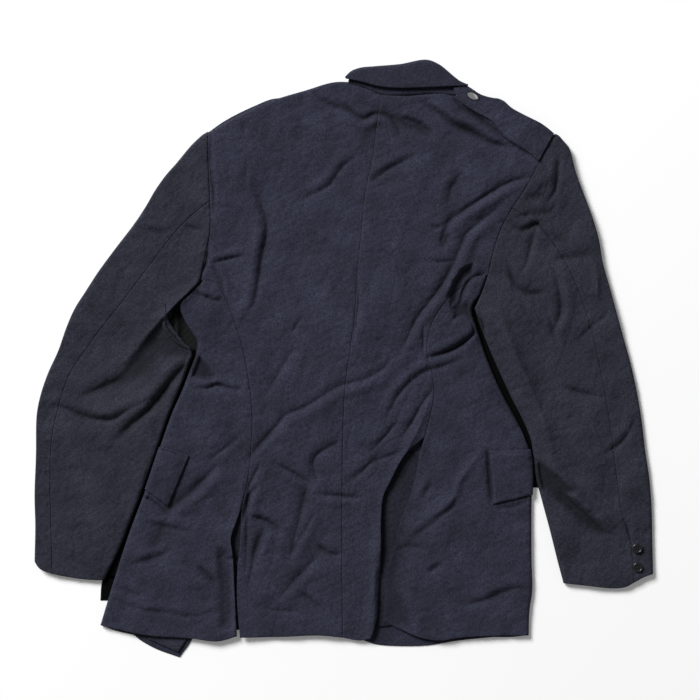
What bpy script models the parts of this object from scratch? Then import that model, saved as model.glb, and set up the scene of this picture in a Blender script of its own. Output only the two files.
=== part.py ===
"""A navy wool service dress jacket, laid face down and flat on a table with its back up.

Millimetres in the tables, metres in the scene. X runs across the jacket to the right arm, Y runs
up the back to the collar and Z is up. The table is the plane Z = 0.
Each cut piece is a grid bent to its outline and given the thickness of its cloth.
"""

import math

import bmesh
import bpy
import numpy as np

MM = 0.001
COLLECTION = "service_dress_jacket"
CUTTERS = "service_dress_jacket_cutters"

# Cloth, in mm.
BODY_WALL = 2.4
FRONT_WALL = 3.0
SLEEVE_WALL = 2.3
COLLAR_WALL = 2.8
STRAP_WALL = 3.0
FLAP_WALL = 2.6
LINING_WALL = 1.6
SEAM_GAP = 0.36
PLY_GAP = 0.3

# The folded jacket, in mm.
FLAT_TOP = 9.2
FOLD_RADIUS = 6.0
FOLD_LOWER = 4.5
FOLD_LEAST = 3.9
COLLAR_MIDDLE = 9.0
COLLAR_RISE = 9.5
COLLAR_FALL = 5.0
STAND_HEIGHT = 11.6
CHEST_LIFT = 2.6
CHEST_FROM = 0.0
CHEST_TO = 66.0
ROLL_ANGLES = (0.0, 35.0, 65.0, 90.0)
SEAM_ANGLES = (0.0, 8.0, 36.0, 65.0, 90.0)
FOLD_SEAM_GAP = 1.0

# Cuff buttons, in mm.
BUTTON_PROFILE = [(0.0, 0.0), (5.2, 0.0), (6.6, 0.9), (7.0, 1.8), (6.5, 3.0), (5.6, 3.4), (4.8, 3.1),
                  (4.3, 2.4), (0.0, 2.4)]
BUTTON_HOLE_RADIUS = 0.9
BUTTON_HOLE_REACH = 1.9
BUTTON_STEPS = 24

# Outlines, points (x, y) in mm, from the top of the jacket downwards.
LEFT_SHOULDER = [(-187, 313), (-147, 335), (-101, 356), (-52, 371), (-14, 382), (9, 382), (26, 377),
                 (52, 367)]
RIGHT_SHOULDER = [(285, 301), (264, 309), (234, 322), (202, 337), (175, 352), (147, 369), (119, 368),
                  (85, 366), (52, 367)]
CENTRE_SEAM = [(52, 367), (46, 320), (41, 280), (31, 233), (26, 185), (20, 126), (16, 65), (9, 12),
               (2, -40), (-1, -112), (-2, -195), (-2, -291), (-1, -385)]
LEFT_HEM = [(-143, -385), (-88, -384), (-32, -382), (-1, -385)]
RIGHT_HEM = [(-1, -385), (23, -389), (38, -386)]

LEFT_ARMHOLE_TOP = [(-187, 313), (-186, 268), (-184, 219)]
LEFT_ARMHOLE_MID = [(-184, 219), (-184, 175), (-190, 144), (-197, 108)]
LEFT_ARMHOLE_LOW = [(-197, 108), (-193.2, 84), (-194.2, 64)]
LEFT_SEAM_HEAD = [(-197, 108), (-185, 108.5), (-172, 103)]
LEFT_SEAM = [(-172, 103), (-159, 75), (-143, 29), (-132, -22), (-126, -77), (-128, -126), (-132, -167),
             (-141, -206)]
LEFT_VENT_BACK = [(-141, -206), (-143, -257), (-146, -284), (-147, -333), (-143, -385)]
LEFT_VENT_SIDE = [(-141, -206), (-148, -225), (-155, -247), (-152, -275), (-150, -320), (-148, -360),
                  (-147, -383)]
LEFT_FOLD = [(-196.4, 107), (-192.2, 84), (-193, 62), (-199.4, 38), (-205.4, 10), (-212, -15),
             (-224, -46), (-237, -75), (-253, -120), (-273, -179), (-297, -243), (-317, -305),
             (-336, -368)]
LEFT_SIDE_HEM = [(-336, -368), (-306, -375), (-267, -382), (-212, -386), (-173, -390), (-147, -383)]

RIGHT_ARMHOLE_TOP = [(285, 301), (268, 268), (249, 233), (232, 208)]
RIGHT_ARMHOLE_MID = [(232, 208), (218, 182), (210, 160), (205, 142), (199, 115)]
RIGHT_ARMHOLE_LOW = [(199, 115), (191, 92), (181, 70)]
RIGHT_SEAM_HEAD = [(199, 115), (189, 115.5), (178, 111)]
RIGHT_SEAM = [(178, 111), (162, 99), (141, 79), (121, 47), (115, 12), (122, -18), (125, -50), (120, -77),
              (112, -108)]
RIGHT_VENT_BACK = [(112, -108), (85, -132), (64, -170), (55, -190), (52, -222), (52, -264), (49, -319),
                   (46, -360), (38, -386)]
RIGHT_VENT_SIDE = [(112, -108), (105, -132), (100, -160), (90, -195), (78, -226), (71, -257), (63, -283),
                   (58, -319), (55, -363)]
RIGHT_FOLD = [(198, 114), (190, 92), (178.6, 70), (187, 43), (199, 12), (215, -26), (230, -57),
              (244, -84), (255, -112), (260, -132), (261, -160), (260, -195), (260, -277), (261, -319),
              (257, -349), (256, -382)]
RIGHT_SIDE_HEM = [(256, -382), (216, -382), (161, -385), (133, -389), (106, -385), (78, -373), (55, -363)]

# The arms: outer fold, inner fold, hind seam and the seam that lies on the table.
LEFT_OUTER = [(-187, 313), (-199, 304), (-212, 293), (-231, 270), (-246, 253), (-262, 230), (-271, 214),
              (-288, 188), (-317, 150), (-339, 120), (-357, 92), (-371, 70), (-383, 43), (-394, 12),
              (-409, -21), (-419, -51), (-424, -77), (-425, -132), (-427, -188), (-426, -229),
              (-427, -280)]
LEFT_INNER = [(-194.2, 64), (-201, 40), (-209, 10), (-220, -12), (-233, -43), (-245, -75), (-262, -120),
              (-279, -167), (-297, -215), (-313, -261), (-331, -306)]
LEFT_HIND = [(-184, 219), (-219, 189), (-239, 167), (-270, 126), (-304, 81), (-331, 47), (-357, 12),
             (-378, -20), (-392, -60), (-402, -105), (-405, -160), (-404, -220), (-402, -297)]
LEFT_UNDER = [(-187, 190), (-235, 110), (-280, 40), (-320, -40), (-350, -120), (-368, -200), (-378, -302)]
RIGHT_OUTER = [(285, 301), (299, 305), (308, 295), (314, 282), (321, 254), (332, 225), (343, 196),
               (353, 164), (358, 134), (368, 98), (377, 65), (387, 29), (397, -7), (405, -43), (412, -84),
               (417, -126), (423, -167), (426, -208), (427, -257), (428, -297)]
RIGHT_INNER = [(181, 70), (190, 43), (202.5, 12), (219, -25), (234, -57), (248, -84), (259, -112),
               (263, -139), (266, -164), (274, -195), (285, -236), (296, -280), (304, -310)]
RIGHT_HIND = [(232, 208), (262, 190), (296, 150), (322, 100), (342, 40), (356, -20), (368, -90),
              (377, -160), (385, -215), (394, -240), (398, -265), (401, -309)]
RIGHT_UNDER = [(218, 195), (250, 120), (280, 40), (306, -30), (330, -110), (346, -200), (352, -315)]
LEFT_CUFF_OUTER = [(-402, -297), (-419, -290), (-427, -280)]
LEFT_CUFF_INNER = [(-402, -297), (-382, -301), (-353, -305), (-331, -306)]
LEFT_CUFF_LOW_OUTER = [(-427, -280), (-419, -290), (-402, -297), (-378, -302)]
LEFT_CUFF_LOW_INNER = [(-331, -306), (-353, -305), (-378, -302)]
RIGHT_CUFF_OUTER = [(401, -309), (416, -301), (428, -297)]
RIGHT_CUFF_INNER = [(401, -309), (390, -315), (373, -317), (333, -313), (304, -310)]
RIGHT_CUFF_LOW_OUTER = [(428, -297), (416, -301), (401, -309), (373, -316), (352, -315)]
RIGHT_CUFF_LOW_INNER = [(304, -310), (333, -313), (352, -315)]

# The layer that lies on the table.
LEFT_LOW_ARMHOLE_TOP = [(-187, 313), (-186, 260), (-187, 190)]
LEFT_LOW_ARMHOLE_MID = [(-187, 190), (-190, 150), (-197, 108)]
LEFT_LOW_ARMHOLE_LOW = [(-197, 108), (-193.2, 84), (-194.2, 64)]
LEFT_FRONT_SEAM_HEAD = [(-197, 108), (-186, 108), (-174, 103)]
RIGHT_LOW_ARMHOLE_TOP = [(285, 301), (262, 262), (238, 226), (218, 195)]
RIGHT_LOW_ARMHOLE_MID = [(218, 195), (209, 155), (199, 115)]
RIGHT_LOW_ARMHOLE_LOW = [(199, 115), (191, 92), (181, 70)]
RIGHT_FRONT_SEAM_HEAD = [(199, 115), (189, 115), (178, 110)]
LEFT_FRONT_SEAM = [(-174, 103), (-162, 55), (-165, 0), (-190, -90), (-225, -190), (-262, -290),
                   (-290, -382)]
RIGHT_FRONT_SEAM = [(178, 110), (157, 60), (155, 0), (180, -70), (205, -140), (212, -230), (212, -320),
                    (208, -385)]
LEFT_LOW_SIDE_HEM = [(-336, -368), (-318, -376), (-290, -384)]
RIGHT_LOW_SIDE_HEM = [(256, -382), (235, -386), (208, -388)]
LEFT_FRONT_HEM = [(-290, -384), (-281, -391), (-260, -402), (-227, -413)]
RIGHT_FRONT_HEM = [(-20, -384), (20, -388), (45, -396), (92, -399), (120, -398), (161, -392), (208, -388)]
LEFT_NECK = [(-186.5, 313), (-147, 335), (-101, 356), (-52, 371), (-14, 382), (5, 381)]
RIGHT_NECK = [(150, 366), (175, 352), (202, 337), (234, 322), (264, 309), (285, 301)]
LEFT_FRONT_EDGE = [(5, 381), (0, 288), (-10, 200), (-25, 100), (-62, -57), (-143, -236), (-208, -386),
                   (-227, -413)]
RIGHT_FRONT_EDGE = [(150, 366), (120, 300), (66, 180), (14, 60), (-18, -60), (-30, -200), (-20, -384)]
LEFT_FACING_EDGE = [(-168, -250), (-188, -320), (-209, -375), (-228, -406)]
LEFT_FACING_BACK = [(-218, -250), (-238, -320), (-252, -355), (-271, -387)]
LEFT_LAPEL_ROLL = [(-8, 330), (-16, 240), (-26, 150), (-34, 70)]
LEFT_LAPEL_EDGE = [(-54, 322), (-92, 256), (-78, 160), (-44, 70)]
RIGHT_LAPEL_ROLL = [(142, 330), (104, 240), (66, 150), (32, 72)]
RIGHT_LAPEL_EDGE = [(190, 308), (192, 240), (140, 140), (44, 68)]

# Collar, shoulder straps, flaps, vents and lining.
COLLAR_ROLL = [(2, 389), (10, 397), (23, 402), (43, 404), (78, 407), (115, 413), (133, 406), (154, 391),
               (168, 378)]
COLLAR_LEAF = [(3, 386), (23, 382), (50, 375), (78, 373), (119, 374), (150, 375), (167, 376)]
COLLAR_UNDER = [(6, 387), (22, 392), (45, 394), (78, 396), (113, 400), (135, 394), (152, 384), (165, 376)]
STAND_NECK = [(10, 383), (28, 378), (52, 368), (85, 367), (119, 369), (147, 370), (158, 373)]
STAND_TOP = [(10, 389), (26, 395), (52, 397), (85, 399), (113, 402), (135, 396), (156, 381)]
RIGHT_STRAP_LOWER = [(151, 371), (161, 356), (188, 337), (212, 319), (230, 301), (250, 287), (268, 272)]
RIGHT_STRAP_UPPER = [(170, 376), (186, 367), (202, 361), (216, 356), (234, 345), (250, 337), (271, 324),
                     (291, 308)]
STRAP_HOLE = (178.5, 364.0, 14.5, 7.5, -22.0)
LEFT_STRAP_UPPER = [(-184, 318), (-147, 338.5), (-101, 359), (-88, 361)]
LEFT_STRAP_LOWER = [(-160, 262), (-120, 290), (-80, 312), (-66, 318)]
LEFT_FLAP_REAR = [(-213, -134), (-228, -170), (-242, -204)]
RIGHT_FLAP_REAR = [(199, -127), (203, -165), (205, -201)]
LEFT_FLAP_SPAN = (-121, -181)
RIGHT_FLAP_SPAN = (-124, -188)
LEFT_UNDERLAP_OUT = [(-162, -214), (-162, -290), (-162, -376)]
LEFT_UNDERLAP_IN = [(-120, -206), (-118, -290), (-118, -372)]
RIGHT_UNDERLAP_OUT = [(118, -128), (112, -200), (92, -280), (86, -366)]
RIGHT_UNDERLAP_IN = [(70, -128), (28, -200), (24, -280), (22, -376)]
LINING_OUT = [(-224.5, -22), (-231.5, -43), (-243, -75), (-260, -120), (-277, -167), (-295, -215),
              (-311, -261), (-329, -300)]
LINING_IN = [(-219, -25), (-227, -46), (-241, -75), (-257, -120), (-277, -179), (-300, -243),
             (-320, -299), (-325, -332)]
CUFF_BUTTONS = {"cuff_button_upper": (405, -261), "cuff_button_lower": (406, -287)}

# Creases: points in mm, height in mm (below nought for a trough), half width in mm.
CREASES = [
    ([(-119, 226), (-110, 190), (-120, 125), (-140, 70)], -3.0, 9),
    ([(-140, 215), (-130, 180), (-138, 120)], 4.0, 12),
    ([(-95, 200), (-98, 150), (-112, 95)], 4.5, 14),
    ([(-60, 226), (-10, 256), (20, 282)], 4.0, 11),
    ([(34, 245), (78, 276), (110, 290)], 3.5, 10),
    ([(112, 360), (150, 336), (205, 305), (230, 292)], 4.0, 11),
    ([(118, 200), (170, 222), (225, 250), (262, 262)], 5.0, 10),
    ([(120, 185), (165, 205), (215, 238)], -2.6, 9),
    ([(-112, -80), (-40, -55), (20, -20), (66, 10), (95, 60), (132, 125), (190, 195), (212, 220)], 6.0, 14),
    ([(-60, -78), (10, -48), (60, -22), (100, 22), (120, 70)], -2.6, 11),
    ([(188, 132), (160, 112), (150, 75), (136, 45)], 3.0, 18),
    ([(200, 118), (172, 96), (160, 60)], -2.6, 12),
    ([(192, 40), (160, 8), (120, -10), (92, -28)], 6.0, 11),
    ([(130, -8), (95, -40), (60, -80), (50, -100)], 4.0, 11),
    ([(110, -45), (72, -110), (30, -152)], 4.0, 11),
    ([(-190, 8), (-160, -22), (-120, -36)], 4.5, 12),
    ([(-205, 70), (-178, 62), (-150, 70)], 4.0, 12),
    ([(-220, -160), (-180, -130), (-145, -95)], 3.5, 10),
    ([(-60, 25), (-85, -15), (-112, -60)], 4.0, 14),
    ([(-20, -110), (-42, -135), (-48, -165)], 3.5, 12),
    ([(-118, -208), (-98, -222), (-80, -240)], 3.5, 9),
    ([(-52, -205), (-70, -250), (-90, -330)], 4.0, 14),
    ([(0, -190), (10, -260), (18, -340)], 4.0, 14),
    ([(-270, -270), (-235, -262), (-200, -240)], 3.0, 10),
    ([(-300, -330), (-250, -342), (-190, -340)], 3.5, 10),
    ([(178, -160), (150, -200), (110, -245), (70, -270)], 5.0, 12),
    ([(80, -265), (120, -272), (160, -260)], 3.0, 12),
    ([(150, -335), (200, -318), (250, -312)], 3.5, 12),
    ([(-215, 70), (-255, 45), (-300, -10), (-350, -40)], 7.0, 14),
    ([(-212, 0), (-262, -60), (-312, -108)], -3.0, 11),
    ([(-196, 120), (-225, 95), (-262, 52), (-300, 20)], 5.0, 15),
    ([(-405, -64), (-340, -78), (-285, -62)], 4.0, 13),
    ([(-232, -50), (-290, -118), (-350, -160)], 5.0, 18),
    ([(-250, 190), (-320, 100), (-372, 10)], 3.0, 26),
    ([(-400, -120), (-390, -200), (-385, -280)], 2.0, 22),
    ([(214, 40), (250, -20), (290, -90), (306, -150)], 7.0, 13),
    ([(290, 290), (296, 240), (288, 218)], 4.0, 12),
    ([(232, 180), (270, 188), (310, 168)], 4.5, 12),
    ([(222, 122), (250, 98), (285, 88)], 4.5, 12),
    ([(300, 130), (312, 60), (300, 0)], 4.0, 14),
    ([(340, 100), (350, 40), (345, -30)], 3.5, 18),
    ([(268, -150), (310, -170), (350, -222)], 6.0, 12),
    ([(262, -165), (300, -200), (340, -250)], -2.0, 12),
    ([(300, -40), (350, -52), (385, -90)], 3.5, 14),
    ([(380, -120), (400, -180), (404, -230)], 2.0, 16),
]

CLOTHS = {
    "wool_back": ((0.050, 0.053, 0.078), 0.86),
    "wool_sleeve": ((0.042, 0.045, 0.066), 0.86),
    "wool_collar": ((0.052, 0.055, 0.080), 0.84),
    "lining": ((0.022, 0.025, 0.025), 0.55),
    "button": ((0.014, 0.014, 0.016), 0.32),
}


def smooth(points, step=1.5):
    """Return a fine polyline through the points, by a centripetal spline, and its length along."""
    pts = np.array(points, float)
    first = 2 * pts[0] - pts[1]
    last = 2 * pts[-1] - pts[-2]
    ext = np.vstack([first, pts, last])
    out = [pts[0]]
    for k in range(1, len(ext) - 2):
        p0, p1, p2, p3 = ext[k - 1:k + 3]
        t1 = np.linalg.norm(p1 - p0) ** 0.5
        t2 = t1 + np.linalg.norm(p2 - p1) ** 0.5
        t3 = t2 + np.linalg.norm(p3 - p2) ** 0.5
        count = max(2, int(np.linalg.norm(p2 - p1) / step))
        for t in np.linspace(t1, t2, count + 1)[1:]:
            a1 = p0 * (t1 - t) / t1 + p1 * t / t1
            a2 = p1 * (t2 - t) / (t2 - t1) + p2 * (t - t1) / (t2 - t1)
            a3 = p2 * (t3 - t) / (t3 - t2) + p3 * (t - t2) / (t3 - t2)
            b1 = a1 * (t2 - t) / t2 + a2 * t / t2
            b2 = a2 * (t3 - t) / (t3 - t1) + a3 * (t - t1) / (t3 - t1)
            out.append(b1 * (t2 - t) / (t2 - t1) + b2 * (t - t1) / (t2 - t1))
    line = np.array(out)
    along = np.concatenate([[0.0], np.cumsum(np.linalg.norm(np.diff(line, axis=0), axis=1))])
    return line, along


def spaced(points, count, roll_first=False, roll_last=False, angles=ROLL_ANGLES):
    """Place count + 1 points evenly along a line, closer where it meets a rolled fold."""
    line, along = smooth(points)
    total = along[-1]
    near = [FOLD_RADIUS * (1 - math.cos(math.radians(a))) for a in angles]
    head = near if roll_first else [0.0]
    tail = [total - d for d in reversed(near)] if roll_last else [total]
    rest = np.linspace(head[-1], tail[0], count + 1)[1:-1]
    stops = np.array(head + list(rest) + tail)
    return np.column_stack([np.interp(stops, along, line[:, 0]), np.interp(stops, along, line[:, 1])])


def join(*lines):
    """Chain lines whose ends meet."""
    parts = [lines[0]]
    for line in lines[1:]:
        parts.append(line[1:])
    return np.vstack(parts)


def share(line):
    """Return each point's share of the length of its line."""
    along = np.concatenate([[0.0], np.cumsum(np.linalg.norm(np.diff(line, axis=0), axis=1))])
    return along / along[-1]


def coons(west, east, north, south):
    """Fill four edges with a grid of points, indexed [across][down]."""
    un, us, vw, ve = share(north), share(south), share(west), share(east)
    grid = np.zeros((len(north), len(west), 2))
    for i in range(len(north)):
        for j in range(len(west)):
            v = vw[j] * (1 - un[i]) + ve[j] * un[i]
            u = un[i] * (1 - v) + us[i] * v
            v = vw[j] * (1 - u) + ve[j] * u
            corner = (north[0] * (1 - u) * (1 - v) + north[-1] * u * (1 - v)
                      + south[0] * (1 - u) * v + south[-1] * u * v)
            grid[i, j] = north[i] * (1 - v) + south[i] * v + west[j] * (1 - u) + east[j] * u - corner
    return grid


def step01(value):
    """Ease from 0 to 1."""
    t = np.clip(value, 0.0, 1.0)
    return t * t * (3 - 2 * t)


def table_lift(x, y):
    """Height of the under layer: the chest rests on the lapels."""
    return CHEST_LIFT * step01((y - CHEST_FROM) / (CHEST_TO - CHEST_FROM))


def crease_height(x, y):
    """Sum of the creases at a point."""
    total = 0.0
    for points, height, width in CREASE_LINES:
        start = points[:-1]
        delta = points[1:] - start
        length = np.linalg.norm(delta, axis=1)
        t = ((x - start[:, 0]) * delta[:, 0] + (y - start[:, 1]) * delta[:, 1]) / length ** 2
        t = np.clip(t, 0.0, 1.0)
        away = np.hypot(x - start[:, 0] - t * delta[:, 0], y - start[:, 1] - t * delta[:, 1])
        k = int(np.argmin(away))
        if away[k] > 3 * width:
            continue
        before = np.sum(length[:k]) + t[k] * length[k]
        part = before / np.sum(length)
        taper = math.sin(math.pi * min(max(part, 0.02), 0.98)) ** 0.6
        total += height * taper * math.exp(-((away[k] / width) ** 2))
    return total


def top_height(x, y):
    """Height of the upper face of the top layer, away from the folds."""
    pads = 5.0 * math.exp(-(((x + 150) / 60) ** 2 + ((y - 285) / 55) ** 2))
    pads += 5.5 * math.exp(-(((x - 250) / 60) ** 2 + ((y - 275) / 55) ** 2))
    relief = max(crease_height(x, y) + pads, -1.2)
    return table_lift(x, y) + FLAT_TOP + relief


def upper(x, y, factor):
    """Upper face, brought down to the middle of a fold as factor goes from 1 to 0."""
    middle = table_lift(x, y) + FOLD_LOWER
    rise = top_height(x, y) - middle
    if factor < 1:
        rise = max(rise, FOLD_LEAST)
    return middle + rise * factor


def lower(x, y, factor):
    """Lower face, brought up to the middle of a fold as factor goes from 1 to 0."""
    base = table_lift(x, y)
    return base + FOLD_LOWER * (1 - factor)


def roll_factors(count, first=False, last=False, angles=ROLL_ANGLES):
    """Shares of the rise of a fold for each point of a spaced line."""
    rise = [math.sin(math.radians(a)) for a in angles]
    head = rise if first else [1.0]
    tail = list(reversed(rise)) if last else [1.0]
    return np.array(head + [1.0] * (count - 1) + tail)


def panel(west, east, north, south, face, across, down):
    """Bend a grid to four edges, with the share of the fold's rise for each column and row."""
    plan = coons(west, east, north, south)
    out = np.zeros((plan.shape[0], plan.shape[1], 3))
    for i in range(plan.shape[0]):
        for j in range(plan.shape[1]):
            x, y = plan[i, j]
            out[i, j] = (x, y, face(x, y, min(across[i], down[j])))
    return out


def draw_in(grid, sides, fold_sides=()):
    """Pull the named edges of a grid in by half the gap of a seam, or of a seam along a fold."""
    for side in (*sides, *fold_sides):
        gap = FOLD_SEAM_GAP if side in fold_sides else SEAM_GAP
        work = grid[::-1] if side == "east" else grid
        work = work[:, ::-1] if side == "south" else work
        if side in ("west", "east"):
            edge, inner = work[0], work[1]
        else:
            edge, inner = work[:, 0], work[:, 1]
        run = np.gradient(edge, axis=0)
        run /= np.linalg.norm(run, axis=1)[:, None]
        way = inner - edge
        length = np.linalg.norm(way, axis=1)[:, None]
        way = way / length
        slant = np.sqrt(np.clip(1 - np.sum(way * run, axis=1) ** 2, 0.16, 1.0))[:, None]
        moved = edge + way * np.minimum(gap / 2 / slant, length * 0.8)
        if side in ("west", "east"):
            work[0] = moved
        else:
            work[:, 0] = moved
    return grid


def material(name):
    """Make or find a plain material."""
    found = bpy.data.materials.get(name)
    if found:
        return found
    colour, rough = CLOTHS[name]
    made = bpy.data.materials.new(name)
    made.use_nodes = True
    shader = made.node_tree.nodes["Principled BSDF"]
    shader.inputs["Base Color"].default_value = (*colour, 1.0)
    shader.inputs["Roughness"].default_value = rough
    made.diffuse_color = (*colour, 1.0)
    return made


def collection(name, hidden=False):
    """Make or find a collection."""
    found = bpy.data.collections.get(name)
    if found is None:
        found = bpy.data.collections.new(name)
        bpy.context.scene.collection.children.link(found)
        found.hide_render = hidden
    return found


def cloth(name, grid, wall, slot, face_up=True):
    """Bend a flat grid to the points given and thicken it inwards."""
    nx, ny = grid.shape[0] - 1, grid.shape[1] - 1
    mesh = bpy.data.meshes.new(name)
    work = bmesh.new()
    bmesh.ops.create_grid(work, x_segments=nx, y_segments=ny, size=1.0)
    for vert in work.verts:
        i = round((vert.co.x + 1) / 2 * nx)
        j = round((vert.co.y + 1) / 2 * ny)
        vert.co = grid[i, j] * MM
    work.normal_update()
    main_faces = [f for f in work.faces if (f.calc_center_median().z > FOLD_LOWER * MM) == face_up]
    lift = sum(f.normal.z * f.calc_area() for f in main_faces)
    if (lift > 0) != face_up:
        bmesh.ops.reverse_faces(work, faces=work.faces)
    work.to_mesh(mesh)
    work.free()
    obj = bpy.data.objects.new(name, mesh)
    collection(COLLECTION).objects.link(obj)
    obj.data.materials.append(material(slot))
    shell = obj.modifiers.new("cloth", "SOLIDIFY")
    shell.thickness = wall * MM
    shell.offset = -1.0
    shell.use_even_offset = False
    return obj


def wrapped(top, bottom):
    """Join a top grid and an under grid along their fold, the column that they share."""
    return np.concatenate([top, bottom[1:]], axis=0)


def build_body():
    """Back panels, side panels that turn round the side folds, and the fronts on the table."""
    rows_arm, rows_mid, rows_head, rows_seam, rows_vent = 3, 4, 2, 12, 7
    left_edge = join(spaced(LEFT_ARMHOLE_TOP, rows_arm, roll_first=True, angles=SEAM_ANGLES),
                     spaced(LEFT_ARMHOLE_MID, rows_mid), spaced(LEFT_SEAM_HEAD, rows_head),
                     spaced(LEFT_SEAM, rows_seam), spaced(LEFT_VENT_BACK, rows_vent))
    right_edge = join(spaced(RIGHT_ARMHOLE_TOP, rows_arm, roll_first=True, angles=SEAM_ANGLES),
                      spaced(RIGHT_ARMHOLE_MID, rows_mid), spaced(RIGHT_SEAM_HEAD, rows_head),
                      spaced(RIGHT_SEAM, rows_seam), spaced(RIGHT_VENT_BACK, rows_vent))
    rows = rows_arm + rows_mid + rows_head + rows_seam + rows_vent
    centre = spaced(CENTRE_SEAM, rows, roll_first=True, angles=SEAM_ANGLES)
    down = roll_factors(rows, first=True, angles=SEAM_ANGLES)
    cols = 13
    flat = np.ones(cols + 1)
    back_left = panel(left_edge, centre, spaced(LEFT_SHOULDER, cols), spaced(LEFT_HEM, cols), upper,
                      flat, down)
    cloth("back_left", draw_in(back_left, ("west", "east"), ("north",)), BODY_WALL, "wool_back")
    back_right = panel(centre, right_edge, spaced(RIGHT_SHOULDER[::-1], cols), spaced(RIGHT_HEM, cols),
                       upper, flat, down)
    cloth("back_right", draw_in(back_right, ("west", "east"), ("north",)), BODY_WALL, "wool_back")

    sides = (
        ("side_left", LEFT_SEAM_HEAD[::-1], LEFT_SEAM, LEFT_VENT_SIDE, LEFT_FOLD, LEFT_SIDE_HEM[::-1],
         LEFT_FRONT_SEAM_HEAD, LEFT_FRONT_SEAM, LEFT_LOW_SIDE_HEM),
        ("side_right", RIGHT_SEAM_HEAD[::-1], RIGHT_SEAM, RIGHT_VENT_SIDE, RIGHT_FOLD,
         RIGHT_SIDE_HEM[::-1], RIGHT_FRONT_SEAM_HEAD, RIGHT_FRONT_SEAM, RIGHT_LOW_SIDE_HEM),
    )
    rows = rows_seam + rows_vent
    for name, head, seam, vent, fold, hem, low_head, front_seam, low_hem in sides:
        wide, narrow = 5, 2
        seam_line = join(spaced(seam, rows_seam), spaced(vent, rows_vent))
        fold_line = spaced(fold, rows)
        head = head[:-1] + [fold[0]]
        low_head = [fold[0]] + low_head[1:]
        top = panel(seam_line, fold_line, spaced(head, wide, roll_last=True),
                    spaced(hem, wide, roll_last=True), upper, roll_factors(wide, last=True),
                    np.ones(rows + 1))
        under = panel(fold_line, spaced(front_seam, rows), spaced(low_head, narrow, roll_first=True),
                      spaced(low_hem, narrow, roll_first=True), lower, roll_factors(narrow, first=True),
                      np.ones(rows + 1))
        grid = wrapped(top, under)
        cloth(name, draw_in(grid, ("west", "east"), ("north",)), BODY_WALL, "wool_back")

    cols = 6
    for name, arm_top, arm_mid, head, seam, neck, hem, edge in (
        ("front_left", LEFT_LOW_ARMHOLE_TOP, LEFT_LOW_ARMHOLE_MID, LEFT_FRONT_SEAM_HEAD, LEFT_FRONT_SEAM,
         LEFT_NECK, LEFT_FRONT_HEM, LEFT_FRONT_EDGE),
        ("front_right", RIGHT_LOW_ARMHOLE_TOP, RIGHT_LOW_ARMHOLE_MID, RIGHT_FRONT_SEAM_HEAD, RIGHT_FRONT_SEAM,
         RIGHT_NECK[::-1], RIGHT_FRONT_HEM[::-1], RIGHT_FRONT_EDGE),
    ):
        outer = join(spaced([neck[0]] + arm_top[1:], 3, roll_first=True, angles=SEAM_ANGLES),
                     spaced(arm_mid, 3), spaced(head, 2), spaced(seam, rows))
        count = 3 + 3 + 2 + rows
        grid = panel(outer, spaced(edge, count, roll_first=True, angles=SEAM_ANGLES), spaced(neck, cols),
                     spaced(hem, cols), lower, np.ones(cols + 1),
                     roll_factors(count, first=True, angles=SEAM_ANGLES))
        cloth(name, draw_in(grid, ("west",), ("north",)), FRONT_WALL, "wool_back", face_up=False)


def build_sleeves():
    """Each arm is an upper sleeve round its outer fold and an under sleeve round its inner fold."""
    rows = 18
    for side, arm_top, arm_mid, arm_low, hind, outer, inner, under, low_top, low_mid, low_low, cuffs in (
        ("left", LEFT_ARMHOLE_TOP, LEFT_ARMHOLE_MID, LEFT_ARMHOLE_LOW, LEFT_HIND, LEFT_OUTER, LEFT_INNER,
         LEFT_UNDER, LEFT_LOW_ARMHOLE_TOP, LEFT_LOW_ARMHOLE_MID, LEFT_LOW_ARMHOLE_LOW,
         (LEFT_CUFF_OUTER, LEFT_CUFF_INNER, LEFT_CUFF_LOW_OUTER, LEFT_CUFF_LOW_INNER)),
        ("right", RIGHT_ARMHOLE_TOP, RIGHT_ARMHOLE_MID, RIGHT_ARMHOLE_LOW, RIGHT_HIND, RIGHT_OUTER,
         RIGHT_INNER, RIGHT_UNDER, RIGHT_LOW_ARMHOLE_TOP, RIGHT_LOW_ARMHOLE_MID,
         RIGHT_LOW_ARMHOLE_LOW, (RIGHT_CUFF_OUTER, RIGHT_CUFF_INNER, RIGHT_CUFF_LOW_OUTER,
         RIGHT_CUFF_LOW_INNER)),
    ):
        hind_line = spaced(hind, rows)
        outer_line = spaced(outer, rows)
        inner_line = spaced(inner, rows)
        under_line = spaced(under, rows)
        flat = np.ones(rows + 1)
        top = panel(hind_line, outer_line, spaced(arm_top[::-1], 3, roll_last=True),
                    spaced(cuffs[0], 3, roll_last=True), upper, roll_factors(3, last=True), flat)
        low = panel(outer_line, under_line, spaced(low_top, 3, roll_first=True),
                    spaced(cuffs[2], 3, roll_first=True), lower, roll_factors(3, first=True), flat)
        cloth("sleeve_top_" + side, draw_in(wrapped(top, low), ("west", "east"), ("north",)), SLEEVE_WALL,
              "wool_sleeve")
        arm_in = join(spaced(arm_mid, 3), spaced(arm_low, 5, roll_last=True))
        cuff_in = spaced(cuffs[1], 8, roll_last=True)
        top = panel(hind_line, inner_line, arm_in, cuff_in, upper, roll_factors(8, last=True), flat)
        low_in = join(spaced(low_low[::-1], 2, roll_first=True), spaced(low_mid[::-1], 2))
        low = panel(inner_line, under_line, low_in, spaced(cuffs[3], 4, roll_first=True), lower,
                    roll_factors(4, first=True), flat)
        cloth("sleeve_under_" + side, draw_in(wrapped(top, low), ("west", "east"), ("north",)), SLEEVE_WALL,
              "wool_sleeve")


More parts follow.
